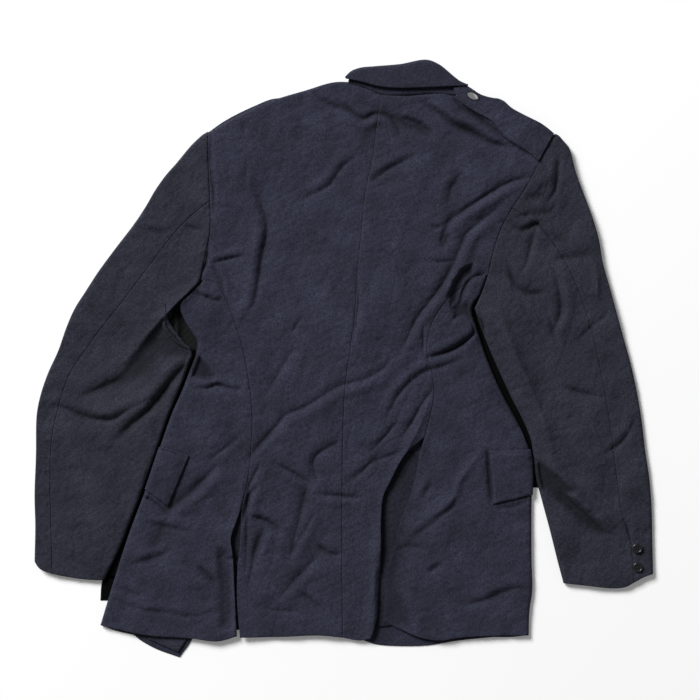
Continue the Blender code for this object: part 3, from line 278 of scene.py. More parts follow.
# Creases of the top layer.
CREASES: list[Crease] = [
    # Under the collar.
    Crease([(-5, 357), (9, 344), (26, 334), (39, 341), (57, 339), (67, 331), (77, 313)], 5.7, 3.5, 4, 2.5,
           -10),
    Crease([(77, 337), (105, 325), (124, 310)], 4.8, 4, 4, 2, 8),
    Crease([(-38, 363), (-16, 352), (6, 344)], 4, 5, 6),
    Crease([(62, 340), (84, 326), (104, 318), (122, 306)], 3.4, 5, 6),
    # Below the neck.
    Crease([(20, 285), (-4, 267), (-22, 242), (-59, 223)], 2.1, 4, 5, 1.5, -9),
    Crease([(97, 283), (58, 263), (33, 245)], 2.3, 4, 5, 1.3, -9),
    # Along the right strap.
    Crease([(111, 354), (132, 341), (149, 327), (179, 314), (200, 301), (231, 292)], 6.8, 4, 5, 3.5, 9),
    Crease([(141, 376), (160, 353), (187, 334), (211, 316), (230, 298), (256, 280)], 6.2, 2, 6),
    # Left shoulder blade.
    Crease([(-139, 330), (-139, 309)], 1.6, 4, 4),
    Crease([(-136, 288), (-136, 219)], 0.9, 4, 4),
    Crease([(-125, 240), (-112, 206), (-108, 181), (-115, 144), (-119, 116), (-126, 79), (-136, 65)], 3.2,
           7, 4, 2, -10),
    Crease([(-73, 40), (-58, 61)], 1.8, 3, 3),
    # Left armhole.
    Crease([(-184, 314), (-185, 270), (-182, 250), (-180, 231), (-181, 202)], 2.7, 3, 4),
    Crease([(-183, 135), (-164, 140), (-139, 145)], 3.2, 3, 3, 1, 7),
    Crease([(-188, 166), (-191, 140), (-197, 121), (-201, 102)], 3.4, 4, 2.5),
    Crease([(-183, 134), (-177, 122), (-170, 108), (-166, 92)], 2.2, 2.5, 3, 1, 6),
    Crease([(-206, 93), (-190, 87), (-177, 82), (-169, 87)], 3.5, 3.5, 4, 1, 6),
    # Right shoulder to waist.
    Crease([(264, 253), (238, 249), (217, 241), (189, 224), (165, 208), (134, 187)], 4.6, 3.2, 5, 2.5, 10),
    Crease([(118, 187), (132, 182)], 3.3, 3, 3),
    Crease([(216, 215), (191, 195), (168, 175), (159, 155), (149, 132), (133, 103), (116, 81), (99, 58),
           (86, 31), (76, 10)], 3.3, 4, 6, 2.4, 10),
    Crease([(72, 12), (50, -13), (23, -27), (-5, -34), (-19, -41), (-60, -67), (-81, -74), (-94, -91),
           (-128, -132)], 2.7, 5, 6, 1.3, 11),
    Crease([(162, 261), (148, 240), (141, 213)], 2.2, 6, 6, 1, -10),
    Crease([(143, 177), (136, 156)], 2.6, 5, 5),
    Crease([(112, 143), (126, 136), (147, 138)], 1.8, 3, 3, 0.8, 6),
    # Beside the centre seam.
    Crease([(16, 134), (19, 81), (11, 26)], 1.9, 4, 7),
    # Right armpit.
    Crease([(193, 120), (175, 115), (166, 103), (160, 86), (156, 64)], 5.6, 4, 5, 1.9, -10),
    Crease([(148, 57), (164, 66), (181, 62), (190, 44), (186, 25)], 8.4, 3, 3),
    Crease([(184, 50), (176, 37), (161, 24), (146, 15), (129, 9), (112, 4)], 6, 4, 2.5, 1.5, -8),
    Crease([(108, 54), (108, 7)], 1.7, 3, 3),
    # Right waist.
    Crease([(168, 4), (133, -8), (112, -14), (92, -27), (72, -50), (58, -77)], 2.2, 5, 4, 1.7, -9),
    Crease([(122, -38), (106, -61), (92, -86), (78, -107)], 2.2, 4, 5, 0.8, -9),
    Crease([(75, -81), (54, -106), (36, -125)], 1.9, 4, 5, 0.8, -9),
    Crease([(78, -124), (64, -131), (37, -140), (23, -154), (2, -168)], 1.9, 4, 5, 0.8, -9),
    # Rolled edge of the right vent.
    Crease([(122, -51), (102, -99), (81, -140), (62, -182)], -2.2, 7, 7),
    Crease([(92, -150), (72, -190), (62, -222), (59, -257), (54, -283), (51.5, -319), (48.5, -363),
           (45, -395)], 8, 22, 2.5, 3, -11),
    Crease([(150, 205), (140, 185), (131, 158)], 3.2, 9, 6),
    Crease([(12, 357), (40, 350), (70, 342)], 2, 9, 9),
    Crease([(72, 352), (100, 338), (132, 318)], 2, 9, 9),
    # Lower back.
    Crease([(-118, -236), (-128, -280), (-134, -316)], 2.6, 9, 6),
    Crease([(-160, -266), (-159, -310), (-158, -372)], 4, 2.5, 7),
    Crease([(-96, -141), (-47, -169)], 4.3, 4, 5, 1, -8),
    Crease([(-9, -112), (-42, -135), (-39, -167)], 3.2, 7, 7, 1.1, -12),
    Crease([(-39, -184), (23, -190)], 3.8, 4, 4, 1, -8),
    Crease([(-130, -214), (-103, -224), (-87, -241)], 4.1, 4, 5, 1.5, 8),
    Crease([(-111, -229), (-128, -275)], 2.7, 5, 6, 1, 9),
    Crease([(-49, -161), (-59, -200), (-75, -270)], 2.5, 8, 8, 0.8, 14),
    Crease([(-41, -209), (-78, -273)], 1.9, 4, 5, 0.7, 8),
    Crease([(-34, -267), (-59, -292), (-94, -331)], 2.5, 6, 8, 1.4, 11),
    Crease([(-67, -316), (-32, -342)], 2.5, 4, 4, 1, 8),
    Crease([(-40, -254), (-19, -267), (-5, -267)], 3.9, 4, 4, 1, 8),
    Crease([(-112, -343), (-60, -347)], 1.5, 4, 4),
    Crease([(-91, -84), (-136, -137)], 1.7, 4, 5, 0.8, 8),
    Crease([(-118, -144), (-135, -178)], 3, 4, 5, 1, 8),
    # Left side.
    Crease([(-209, 10), (-195, -10), (-184, -26)], 8.7, 3.5, 3.5, 1.5, 8),
    Crease([(-208, -37), (-191, -38), (-177, -33), (-164, -37), (-143, -41)], 3.3, 3.5, 3.5, 1.5, 7),
    Crease([(-145, -104), (-189, -140)], 1.8, 3, 4, 0.7, 7),
    Crease([(-176, -144), (-204, -173), (-225, -191), (-249, -209)], 3.8, 6, 8, 2, 12),
    Crease([(-69, 20), (-110, -49)], 2.3, 8, 9, 0.9, 14),
    Crease([(-270, -225), (-212, -237)], 2.5, 5, 5, 1, 9),
    Crease([(-291, -280), (-273, -275), (-252, -267), (-238, -256)], 2.2, 5, 5, 1.1, 9),
    Crease([(-202, -284), (-177, -309)], 5.2, 5, 5, 1.5, 9),
    Crease([(-329, -326), (-281, -344), (-246, -348), (-219, -353), (-164, -343)], 1.5, 4, 4, 0.8, 8),
    Crease([(-315, -312), (-278, -327)], 2, 4, 4),
    # Round the flaps.
    Crease([(-264, -118), (-237, -127), (-214, -135)], 2.7, 2.2, 2.2),
    Crease([(-285, -182), (-264, -195), (-247, -210)], 4.6, 2.2, 2.2),
    Crease([(192, -128), (225, -126), (256, -124)], 1.7, 2.2, 2.2),
    Crease([(198, -124), (200, -150), (202, -176), (205, -200)], 7.6, 1.6, 4),
    Crease([(198, -203), (228, -202), (259, -191)], 1.7, 2.2, 2.2),
    # Left vent.
    Crease([(-132, -160), (-135, -200), (-136, -250), (-139, -300)], 2.3, 6, 3),
    Crease([(-120, -174), (-130, -182), (-137, -204), (-141, -222)], 3.8, 4, 5, 1.4, 9),
    Crease([(-138, -181), (-145, -217), (-153, -248), (-152, -285), (-150, -330), (-148, -388)], -2.5, 3,
           11),
    Crease([(-177, -270), (-159, -273), (-143, -271)], 4.8, 3, 3, 1, 7),
    # Right side.
    Crease([(146, -167), (153, -195), (133, -214), (106, -235), (78, -260)], 1.9, 5, 6, 0.9, -10),
    Crease([(120, -168), (107, -189)], 2.5, 4, 5, 1, -8),
    Crease([(188, -132), (161, -167), (150, -195), (119, -219)], -3, 7, 7),
    Crease([(69, -262), (92, -256), (113, -260)], 1.5, 4, 4, 0.6, 8),
    Crease([(112, -294), (133, -280)], 3.2, 4, 4),
    Crease([(162, -338), (189, -332), (217, -320), (237, -314), (256, -317)], 2.5, 5, 5, 1.2, 9),
    # The body's side where the right arm lies over it.
    Crease([(175, 74), (185, 40), (199, 3), (222, -51), (246, -108)], 6, 3, 6),
    # Left sleeve head.
    Crease([(-285, 184), (-253, 178), (-233, 185)], 1.5, 3, 4, 0.8, 7),
    Crease([(-221, 187), (-198, 179)], 1.5, 3, 4, 0.8, 7),
    # Left armpit roll.
    Crease([(-188, 127), (-204, 103), (-221, 84), (-237, 69), (-249, 57), (-269, 34), (-288, 9)], -4.4, 6,
           11),
    Crease([(-254, 60), (-252, 44), (-243, 29), (-230, 17), (-209, 5)], 5, 2, 26),
    Crease([(-241, 56), (-253, 38), (-268, 19), (-286, -4), (-304, -22), (-328, -33), (-365, -49)], 5.8, 11,
           6),
    # Left elbow.
    Crease([(-206, 4), (-223, -9), (-238, -25), (-251, -43), (-271, -67), (-301, -93), (-317, -110)], 5.1,
           7, 5, 2.6, -12),
    Crease([(-412, -63), (-391, -64), (-375, -71), (-357, -78), (-322, -81), (-308, -74), (-274, -55)], 3.4,
           5, 4.5, 2.7, 10),
    # Left forearm, inner side.
    Crease([(-210, -121), (-239, -198), (-274, -287)], 2.8, 16, 16),
    # Right sleeve head.
    Crease([(295, 288), (294, 268), (292, 247), (288, 230), (277, 217)], 3.2, 4, 4, 1.6, -9),
    Crease([(244, 222), (263, 225), (282, 233)], 3, 3.5, 3.5, 1, 7),
    Crease([(265, 238), (286, 242)], 4.3, 3, 3),
    Crease([(244, 200), (278, 205), (292, 212)], 3.5, 3.5, 3.5, 1, 7),
    Crease([(227, 188), (244, 180), (267, 189), (282, 173), (302, 163)], 3.9, 4, 4, 1.5, 8),
    Crease([(265, 189), (257, 161), (251, 136), (243, 120)], 2.5, 5, 5, 0.8, 9),
    Crease([(225, 131), (235, 106), (251, 94), (273, 93)], 5.4, 4, 4),
    # Right upper arm.
    Crease([(286, 138), (314, 144), (340, 146)], 2.7, 7, 7, 0.9, 12),
    Crease([(288, 130), (295, 102), (298, 68), (284, 33)], 3.3, 5, 6, 1.6, 10),
    Crease([(348, 134), (351, 81)], -2.5, 6, 6),
    Crease([(368, 68), (340, 47), (319, 26)], 1.7, 6, 6, 0.8, -10),
    Crease([(242, 80), (262, 46)], 1.8, 4, 4, 0.9, 8),
    Crease([(276, 76), (295, 20)], 1.6, 4, 4, 0.8, 8),
    # Right inner roll.
    Crease([(214, 74), (224, 42), (234, 14), (259, -42), (283, -108), (291, -146)], -5, 12, 22),
    # Right elbow.
    Crease([(302, -37), (325, -44), (360, -51)], 2.3, 4, 4.5, 1, 9),
    Crease([(355, -130), (380, -114), (395, -93), (400, -80)], 1.9, 4, 4.5, 0.8, 8),
    # Right forearm step.
    Crease([(264, -147), (292, -173), (315, -198), (336, -217), (364, -243)], 12.1, 3, 10, 5, 11),
    # Right cuff.
    Crease([(387, -222), (395, -250)], 1.9, 3, 3, 0.7, 7),
]

HOLLOWS: list[Hollow] = [
    Hollow([(-206, 8), (-196, -2), (-186, -14), (-178, -25), (-190, -28), (-208, -24), (-214, -12)], 6.0,
           5.0),
    Hollow([(178, 130), (163, 122), (153, 107), (147, 88), (149, 75), (157, 78), (161, 94), (167, 107),
           (178, 118)], 6.0, 5.0),
    Hollow([(150, 71), (158, 76), (170, 76), (179, 72), (186, 54), (191, 38), (185, 37), (178, 51),
           (168, 60), (155, 62)], 6.0, 6.0),
    Hollow([(-246, 51), (-228, 33), (-212, 10), (-232, 4), (-253, 1), (-274, -18), (-297, -36), (-308, -26),
           (-281, 10), (-260, 33)], 4.6, 9.0),
    Hollow([(50, -296), (62, -314), (80, -326), (93, -348), (95, -372), (70, -368), (48, -374)], 4.6, 8.0),
    Hollow([(60, -200), (84, -150), (100, -146), (94, -195), (82, -226), (74, -262), (67, -292),
           (56, -290)], 3.2, 7.0),
    Hollow([(-172, -262), (-159, -266), (-157, -372), (-168, -372)], 3.8, 6.0),
    Hollow([(258, -138), (280, -150), (300, -166), (318, -184), (306, -188), (286, -182), (268, -176)], 6.0,
           5.0),
]

MOUNDS: list[Mound] = [
    # The shoulder blades.
    Mound((-150, 285), 60, 55, 5.0),
    Mound((250, 275), 60, 55, 5.5),
    # The right armpit, upper arm and forearm, the left side and the middle of the back.
    Mound((165, 39), 21, 21, 4.5),
    Mound((257, 115), 25, 22, 4.5),
    Mound((313, -98), 36, 30, 3.5),
    Mound((-187, 57), 18, 36, 3),
    Mound((8, -6), 75, 115, 10),
]

# The steps round a fold, in degrees from its outermost line.
FOLD_ANGLES = (0.0, 12.0, 24.0, 36.0, 48.0, 60.0, 75.0, 90.0)


class EdgeKind(Enum):
    """How the edge of a cut piece is finished."""

    SEAM = "seam"
    ARMHOLE = "armhole"
    TURNED = "turned"
    FOLD = "fold"


# For each row near an edge: its distance from it in mm, the share of the fold's rise that it has
# and how far it sinks in mm.
EDGE_ROWS: dict[EdgeKind, list[tuple[float, float, float]]] = {
    EdgeKind.SEAM: [(0.06, 1.0, 1.0), (0.3, 1.0, 0.55), (0.7, 1.0, 0.26), (1.4, 1.0, 0.1), (2.6, 1.0, 0.0)],
    EdgeKind.ARMHOLE: [(0.08, 1.0, 1.7), (0.45, 1.0, 1.0), (1.1, 1.0, 0.5), (2.2, 1.0, 0.18),
                       (4.0, 1.0, 0.0)],
    EdgeKind.TURNED: [(0.1, 1.0, 1.3), (0.3, 1.0, 0.7), (0.7, 1.0, 0.25), (1.4, 1.0, 0.0)],
    EdgeKind.FOLD: [(FOLD_RADIUS * (1 - math.cos(math.radians(a))), math.sin(math.radians(a)), 0.0)
                    for a in FOLD_ANGLES],
}
# The most of a narrow piece's width that the rows of one edge may take.
EDGE_SHARE = 0.4


@dataclass
class Edges:
    """How the four edges of a panel are finished."""

    west: EdgeKind = EdgeKind.SEAM
    east: EdgeKind = EdgeKind.SEAM
    north: EdgeKind = EdgeKind.SEAM
    south: EdgeKind = EdgeKind.TURNED


def spline(points: Sequence[Point], step: float = 1.5) -> np.ndarray:
    """Draw a fine line through a few points by a centripetal spline.

    Args:
        points: The points to pass through, in mm.
        step: The distance between points of the fine line, in mm.

    Returns:
        The fine line, one row for each point.
    """
    pts = np.array(points, float)
    ext = np.vstack([2 * pts[0] - pts[1], pts, 2 * pts[-1] - pts[-2]])
    out = [pts[:1]]
    for k in range(1, len(ext) - 2):
        p0, p1, p2, p3 = ext[k - 1:k + 3]
        t1 = np.linalg.norm(p1 - p0) ** 0.5
        t2 = t1 + np.linalg.norm(p2 - p1) ** 0.5
        t3 = t2 + np.linalg.norm(p3 - p2) ** 0.5
        count = max(2, int(np.linalg.norm(p2 - p1) / step))
        t = np.linspace(t1, t2, count + 1)[1:, None]
        a1 = p0 * (t1 - t) / t1 + p1 * t / t1
        a2 = p1 * (t2 - t) / (t2 - t1) + p2 * (t - t1) / (t2 - t1)
        a3 = p2 * (t3 - t) / (t3 - t2) + p3 * (t - t2) / (t3 - t2)
        b1 = a1 * (t2 - t) / t2 + a2 * t / t2
        b2 = a2 * (t3 - t) / (t3 - t1) + a3 * (t - t1) / (t3 - t1)
        out.append(b1 * (t2 - t) / (t2 - t1) + b2 * (t - t1) / (t2 - t1))
    return np.vstack(out)


def run_of(line: np.ndarray) -> np.ndarray:
    """Return the length along a line at each of its points."""
    return np.concatenate([[0.0], np.cumsum(np.linalg.norm(np.diff(line, axis=0), axis=1))])


def at_stops(line: np.ndarray, stops: np.ndarray) -> np.ndarray:
    """Return the points of a line at the lengths given."""
    along = run_of(line)
    return np.column_stack([np.interp(stops, along, line[:, k]) for k in range(line.shape[1])])


def resampled(line: np.ndarray, count: int) -> np.ndarray:
    """Return count + 1 even points along a fine line."""
    return at_stops(line, np.linspace(0.0, run_of(line)[-1], count + 1))


def even(points: Sequence[Point], count: int) -> np.ndarray:
    """Return count + 1 even points along the spline through a few points."""
    return resampled(spline(points), count)


def chain(*stretches: Sequence[Point]) -> np.ndarray:
    """Join splines whose ends meet into one fine line, with a corner where they meet."""
    lines = [spline(stretch) for stretch in stretches]
    return np.vstack([lines[0]] + [line[1:] for line in lines[1:]])


def share(line: np.ndarray) -> np.ndarray:
    """Return each point's share of the length of its line."""
    along = run_of(line)
    return along / along[-1]


def filled(west: np.ndarray, east: np.ndarray, north: np.ndarray, south: np.ndarray) -> np.ndarray:
    """Fill four edges with a grid of points.

    Args:
        west: The edge at the first column, from north to south.
        east: The edge at the last column, from north to south.
        north: The edge at the first row, from west to east.
        south: The edge at the last row, from west to east.

    Returns:
        The grid, indexed [across][down][xy].
    """
    un, us = share(north)[:, None], share(south)[:, None]
    vw, ve = share(west)[None, :], share(east)[None, :]
    v = vw * (1 - un) + ve * un
    u = un * (1 - v) + us * v
    v = vw * (1 - u) + ve * u
    u, v = u[:, :, None], v[:, :, None]
    corners = (north[0] * (1 - u) * (1 - v) + north[-1] * u * (1 - v)
               + south[0] * (1 - u) * v + south[-1] * u * v)
    return north[:, None] * (1 - v) + south[:, None] * v + west[None] * (1 - u) + east[None] * u - corners


def between(north: np.ndarray, south: np.ndarray, count: int) -> np.ndarray:
    """Fill the place between two lines with a grid, count steps down, with straight ends."""
    ends = [np.linspace(north[k], south[k], count + 1) for k in (0, -1)]
    return filled(ends[0], ends[1], north, south)


def edge_stops(kind: EdgeKind, reach: float) -> np.ndarray:
    """Return how far the rows of an edge lie from it, drawn in where the piece is narrow."""
    stops = np.array(EDGE_ROWS[kind])[:, 0]
    return stops * min(1.0, reach / stops[-1])


def respaced(plan: np.ndarray, first: EdgeKind, last: EdgeKind) -> np.ndarray:
    """Move the points across a grid so that the rows of its two edges lie close to them.

    Args:
        plan: The grid, indexed [across][down][xy].
        first: The edge at the first column.
        last: The edge at the last column.

    Returns:
        The grid with the rows of its edges, which are more columns across.
    """
    out = np.zeros((len(plan) + len(EDGE_ROWS[first]) + len(EDGE_ROWS[last]) - 2, *plan.shape[1:]))
    for j in range(plan.shape[1]):
        line = plan[:, j]
        total = run_of(line)[-1]
        near, far = (edge_stops(kind, total * EDGE_SHARE) for kind in (first, last))
        middle = np.linspace(near[-1], total - far[-1], len(plan))[1:-1]
        out[:, j] = at_stops(line, np.concatenate([near, middle, total - far[::-1]]))
    return out


def edge_values(count: int, first: EdgeKind, last: EdgeKind, column: int) -> np.ndarray:
    """Spread a column of the edges' rows over a respaced grid.

    Args:
        count: How many points the grid has that way.
        first: The edge at its start.
        last: The edge at its end.
        column: Which value is wanted: the share of the rise (1) or the drop (2).

    Returns:
        The value at each point, which is flat away from the edges.
    """
    head, tail = np.array(EDGE_ROWS[first])[:, column], np.array(EDGE_ROWS[last])[::-1, column]
    flat = 1.0 if column == 1 else 0.0
    return np.concatenate([head, np.full(count - len(head) - len(tail), flat), tail])


def ease(value: np.ndarray) -> np.ndarray:
    """Ease from 0 to 1."""
    t = np.clip(value, 0.0, 1.0)
    return t * t * (3 - 2 * t)


def bell(off: np.ndarray) -> np.ndarray:
    """Return the height of a round roll of one, at a distance in half widths."""
    return np.exp(-(off ** 2))


def beside_line(xy: np.ndarray, line: np.ndarray) -> tuple[np.ndarray, np.ndarray]:
    """Measure points against a line.

    Args:
        xy: The points, one row each.
        line: The line, one row for each point of it.

    Returns:
        The signed distance of each point, positive to the left of the line's run, and the share
        of the line's length at the place nearest to it.
    """
    start, delta = line[:-1], np.diff(line, axis=0)
    length = np.linalg.norm(delta, axis=1)
    away = xy[:, None, :] - start[None]
    t = np.clip(np.sum(away * delta, axis=2) / length ** 2, 0.0, 1.0)
    far = np.linalg.norm(away - t[:, :, None] * delta, axis=2)
    near, pick = np.argmin(far, axis=1), np.arange(len(xy))
    side = delta[near, 0] * away[pick, near, 1] - delta[near, 1] * away[pick, near, 0]
    part = (run_of(line)[near] + t[pick, near] * length[near]) / length.sum()
    return np.where(side >= 0, far[pick, near], -far[pick, near]), part


def inside_depth(xy: np.ndarray, outline: np.ndarray) -> np.ndarray:
    """Measure points against a closed outline.

    Args:
        xy: The points, one row each.
        outline: The corners of the outline.

    Returns:
        How far each point lies inside, below nought outside.
    """
    ring = np.vstack([outline, outline[:1]])
    within = np.zeros(len(xy), bool)
    for a, b in zip(ring[:-1], ring[1:]):
        crosses = (a[1] > xy[:, 1]) != (b[1] > xy[:, 1])
        slope = (b[0] - a[0]) / (b[1] - a[1]) if a[1] != b[1] else 0.0
        within ^= crosses & (xy[:, 0] < a[0] + slope * (xy[:, 1] - a[1]))
    return np.where(within, 1, -1) * np.abs(beside_line(xy, ring)[0])


def near_to(xy: np.ndarray, line: np.ndarray, reach: float) -> np.ndarray:
    """Return which points lie within reach of the box round a line."""
    return np.all((xy > line.min(axis=0) - reach) & (xy < line.max(axis=0) + reach), axis=1)


@dataclass
class Relief:
    """The creases, hollows and swells of the top layer.

    slow, fine and net are waves of the cloth: how many, and the shortest and the longest in mm.
    """

    creases: list[Crease]
    hollows: list[Hollow]
    mounds: list[Mound]
    seed: int = 7
    gain: float = 1.5
    width: float = 0.74
    cusp: float = 1.15
    taper: float = 0.55
    crease_reach: float = 3.2
    roll_reach: float = 0.9
    end_share: float = 0.015
    roll_spread: float = 0.75
    ripple: float = 0.24
    wrinkle: float = 0.036
    pucker: float = 0.45
    pucker_pinch: float = 1.6
    settle: float = 0.9
    line_step: float = 4.0
    slow: tuple[int, float, float] = (14, 34.0, 120.0)
    fine: tuple[int, float, float] = (46, 8.0, 24.0)
    net: tuple[int, float, float] = (12, 30.0, 75.0)

    def __post_init__(self) -> None:
        """Draw the crease lines and draw lots for the waves of the cloth."""
        self.lines = [spline(crease.points, self.line_step) + np.multiply(SHADED_SIDE, crease.depth > 0)
                      for crease in self.creases]
        draw = np.random.default_rng(self.seed)
        self.slow_waves, self.fine_waves, self.net_waves = (
            self.waves(draw, *kind) for kind in (self.slow, self.fine, self.net))

    @staticmethod
    def waves(draw: np.random.Generator, count: int, least: float, most: float) -> np.ndarray:
        """Draw lots for waves of cloth.

        Args:
            draw: Where the lots come from.
            count: How many waves.
            least: The shortest wave, in mm.
            most: The longest wave, in mm.

        Returns:
            One row for each wave: how it turns across and along the cloth, and its start.
        """
        turn = draw.uniform(0, math.pi, count)
        pace = math.tau / draw.uniform(least, most, count)
        return np.column_stack([np.cos(turn) * pace, np.sin(turn) * pace, draw.uniform(0, math.tau, count)])

    @staticmethod
    def sum_of(waves: np.ndarray, xy: np.ndarray) -> np.ndarray:
        """Add up waves at each point."""
        return sum(np.sin(xy[:, 0] * across + xy[:, 1] * along + start) for across, along, start in waves)

    def crease(self, xy: np.ndarray, crease: Crease, line: np.ndarray) -> np.ndarray:
        """Return the height that a crease gives each point.

        Args:
            xy: The points, one row each.
            crease: The crease.
            line: Its deepest line, or the top of a roll.

        Returns:
            The heights, in mm.
        """
        off, part = beside_line(xy, line)
        wide = np.where(off >= 0, crease.left, crease.right) * self.width
        height = crease.ridge * bell((off - crease.beside) / (abs(crease.beside) * self.roll_spread))
        height -= crease.depth * np.exp(-((np.abs(off) / wide) ** self.cusp))
        part = np.clip(part, self.end_share, 1 - self.end_share)
        return self.gain * height * np.sin(math.pi * part) ** self.taper

    def height(self, xy: np.ndarray) -> np.ndarray:
        """Return the relief of the top layer.

        Args:
            xy: The points, one row each.

        Returns:
            The heights above the flat cloth, in mm.
        """
        total = self.ripple * self.sum_of(self.slow_waves, xy)
        total += self.wrinkle * self.sum_of(self.fine_waves, xy)
        net = np.abs(self.sum_of(self.net_waves, xy)) / math.sqrt(len(self.net_waves) / 2)
        total -= self.pucker * np.clip(1 - net * self.pucker_pinch, 0.0, 1.0) ** 2
        for crease, line in zip(self.creases, self.lines):
            widest = max(crease.left, crease.right, abs(crease.beside) * self.roll_reach)
            near = near_to(xy, line, self.crease_reach * widest)
            if near.any():
                total[near] += self.crease(xy[near], crease, line)
        for mound in self.mounds:
            off = (xy - mound.centre) / (mound.across, mound.along)
            total += mound.height * bell(np.linalg.norm(off, axis=1))
        for hollow in self.hollows:
            outline = np.array(hollow.outline, float)
            near = near_to(xy, outline, 2 * hollow.slope)
            if near.any():
                sunk = ease(inside_depth(xy[near], outline) / hollow.slope * 0.5 + 0.5)
                total[near] = total[near] * (1 - sunk) - hollow.depth * sunk
        over = (total + DEEPEST_CREASE) / self.settle
        return np.where(over > 10, total, self.settle * np.log1p(np.exp(over)) - DEEPEST_CREASE)


RELIEF = Relief(CREASES, HOLLOWS, MOUNDS)


def table_lift(xy: np.ndarray) -> np.ndarray:
    """Return the height of the under layer: the chest rests on the lapels."""
    return CHEST_LIFT * ease(xy[..., 1] / CHEST_TO)


def top_height(xy: np.ndarray) -> np.ndarray:
    """Return the height of the upper face of the top layer, away from the folds."""
    flat = xy.reshape(-1, 2)
    return (table_lift(flat) + FLAT_TOP + RELIEF.height(flat)).reshape(xy.shape[:-1])


def upper_face(plan: np.ndarray, rise: np.ndarray, drop: np.ndarray) -> np.ndarray:
    """Return the heights of the top layer, brought down to the middle of its folds and seams.

    Args:
        plan: The points.
        rise: The share of the fold's rise at each point, which is 1 away from folds.
        drop: How far each point sinks at a seam, in mm.

    Returns:
        The heights, in mm.
    """
    middle = table_lift(plan) + FOLD_MIDDLE
    up = top_height(plan) - middle
    return middle + np.where(rise < 1, np.maximum(up, FOLD_LEAST), up) * rise - drop


def lower_face(plan: np.ndarray, rise: np.ndarray, drop: np.ndarray) -> np.ndarray:
    """Return the heights of the layer on the table, brought up to the middle of its folds."""
    return table_lift(plan) + FOLD_MIDDLE * (1 - rise) + drop * 0.5


FaceHeights = Callable[[np.ndarray, np.ndarray, np.ndarray], np.ndarray]


def panel(west: np.ndarray, east: np.ndarray, north: np.ndarray, south: np.ndarray,
          edges: Edges, face: FaceHeights) -> np.ndarray:
    """Bend a grid to four edges and give it the heights of a face.

    Args:
        west: The edge at the first column.
        east: The edge at the last column.
        north: The edge at the first row.
        south: The edge at the last row.
        edges: How each edge is finished.
        face: The heights of the upper or the lower layer.

    Returns:
        The grid, indexed [across][down][xyz], in mm.
    """
    plan = respaced(filled(west, east, north, south), edges.west, edges.east)
    plan = respaced(plan.transpose(1, 0, 2), edges.north, edges.south).transpose(1, 0, 2)
    (rise_across, drop_across), (rise_down, drop_down) = (
        [edge_values(count, first, last, column) for column in (1, 2)]
        for count, first, last in ((plan.shape[0], edges.west, edges.east),
                                   (plan.shape[1], edges.north, edges.south)))
    rise = np.minimum(rise_across[:, None], rise_down)
    return np.dstack([plan, face(plan, rise, np.maximum(drop_across[:, None], drop_down))])


def wrapped(top: np.ndarray, under: np.ndarray) -> np.ndarray:
    """Join a top grid and an under grid along their fold."""
    return np.concatenate([top, under[1:]], axis=0)


def grid_area(grid: np.ndarray) -> float:
    """Return the area of a grid's surface, in the square of its unit."""
    a, b = grid[1:, 1:] - grid[:-1, :-1], grid[1:, :-1] - grid[:-1, 1:]
    return float(np.linalg.norm(np.cross(a, b), axis=2).sum() / 2)


def longest(grid: np.ndarray, axis: int) -> float:
    """Return the length of the longest line across (0) or down (1) a grid."""
    return float(np.linalg.norm(np.diff(grid, axis=axis), axis=2).sum(axis=axis).max())


# Materials.


def linear(code: str) -> tuple[float, ...]:
    """Turn an sRGB hex value into linear red, green, blue and an alpha of one."""
    parts = [int(code[k:k + 2], 16) / 255 for k in (1, 3, 5)]
    return *(c / 12.92 if c <= 0.04045 else ((c + 0.055) / 1.055) ** 2.4 for c in parts), 1.0


def toned(colour: tuple[float, ...], strength: float) -> tuple[float, ...]:
    """Return a lighter or darker tone of a colour."""
    return tuple(c * strength for c in colour[:3]) + (1.0,)


def set_inputs(tree: bpy.types.NodeTree, node: bpy.types.Node, values: dict,
               links: Optional[dict] = None) -> None:
    """Set and link the input sockets of a node.

    Args:
        tree: The material's node tree.
        node: The node.
        values: Values for its input sockets, by name or number.
        links: Output sockets to link to its input sockets, by name or number.
    """
    for name, value in values.items():
        node.inputs[name].default_value = value
    for name, socket in (links or {}).items():
        tree.links.new(socket, node.inputs[name])


def add_node(tree: bpy.types.NodeTree, kind: str, settings: Optional[dict] = None,
             values: Optional[dict] = None, links: Optional[dict] = None,
             stops: Sequence[tuple[float, tuple[float, ...]]] = ()) -> bpy.types.Node:
    """Add a node to a material.

    Args:
        tree: The material's node tree.
        kind: The node's type name.
        settings: Properties of the node.
        values: Values for its input sockets, by name or number.
        links: Output sockets to link to its input sockets, by name or number.
        stops: The places and colours of a colour ramp's two ends.

    Returns:
        The new node.
    """
    node = tree.nodes.new(kind)
    for name, value in (settings or {}).items():
        setattr(node, name, value)
    set_inputs(tree, node, values or {}, links or {})
    for k, (place, colour) in enumerate(stops):
        node.color_ramp.elements[k].position, node.color_ramp.elements[k].color = place, colour
    return node


MULTIPLY = {"blend_type": "MULTIPLY"}
# The length in which a wave texture repeats at a scale of one.
WAVE_LENGTH = math.tau / 20


def blank_material(name: str) -> tuple[bpy.types.Material, bpy.types.Node]:
    """Make a material that holds only a Principled shader and its output."""
    made = bpy.data.materials.new(name)
    made.use_nodes = True
    return made, made.node_tree.nodes["Principled BSDF"]


def per_metre(size_mm: float) -> float:
    """Return the scale of a pattern that repeats after a size in mm."""
    return 1 / (size_mm * MM)


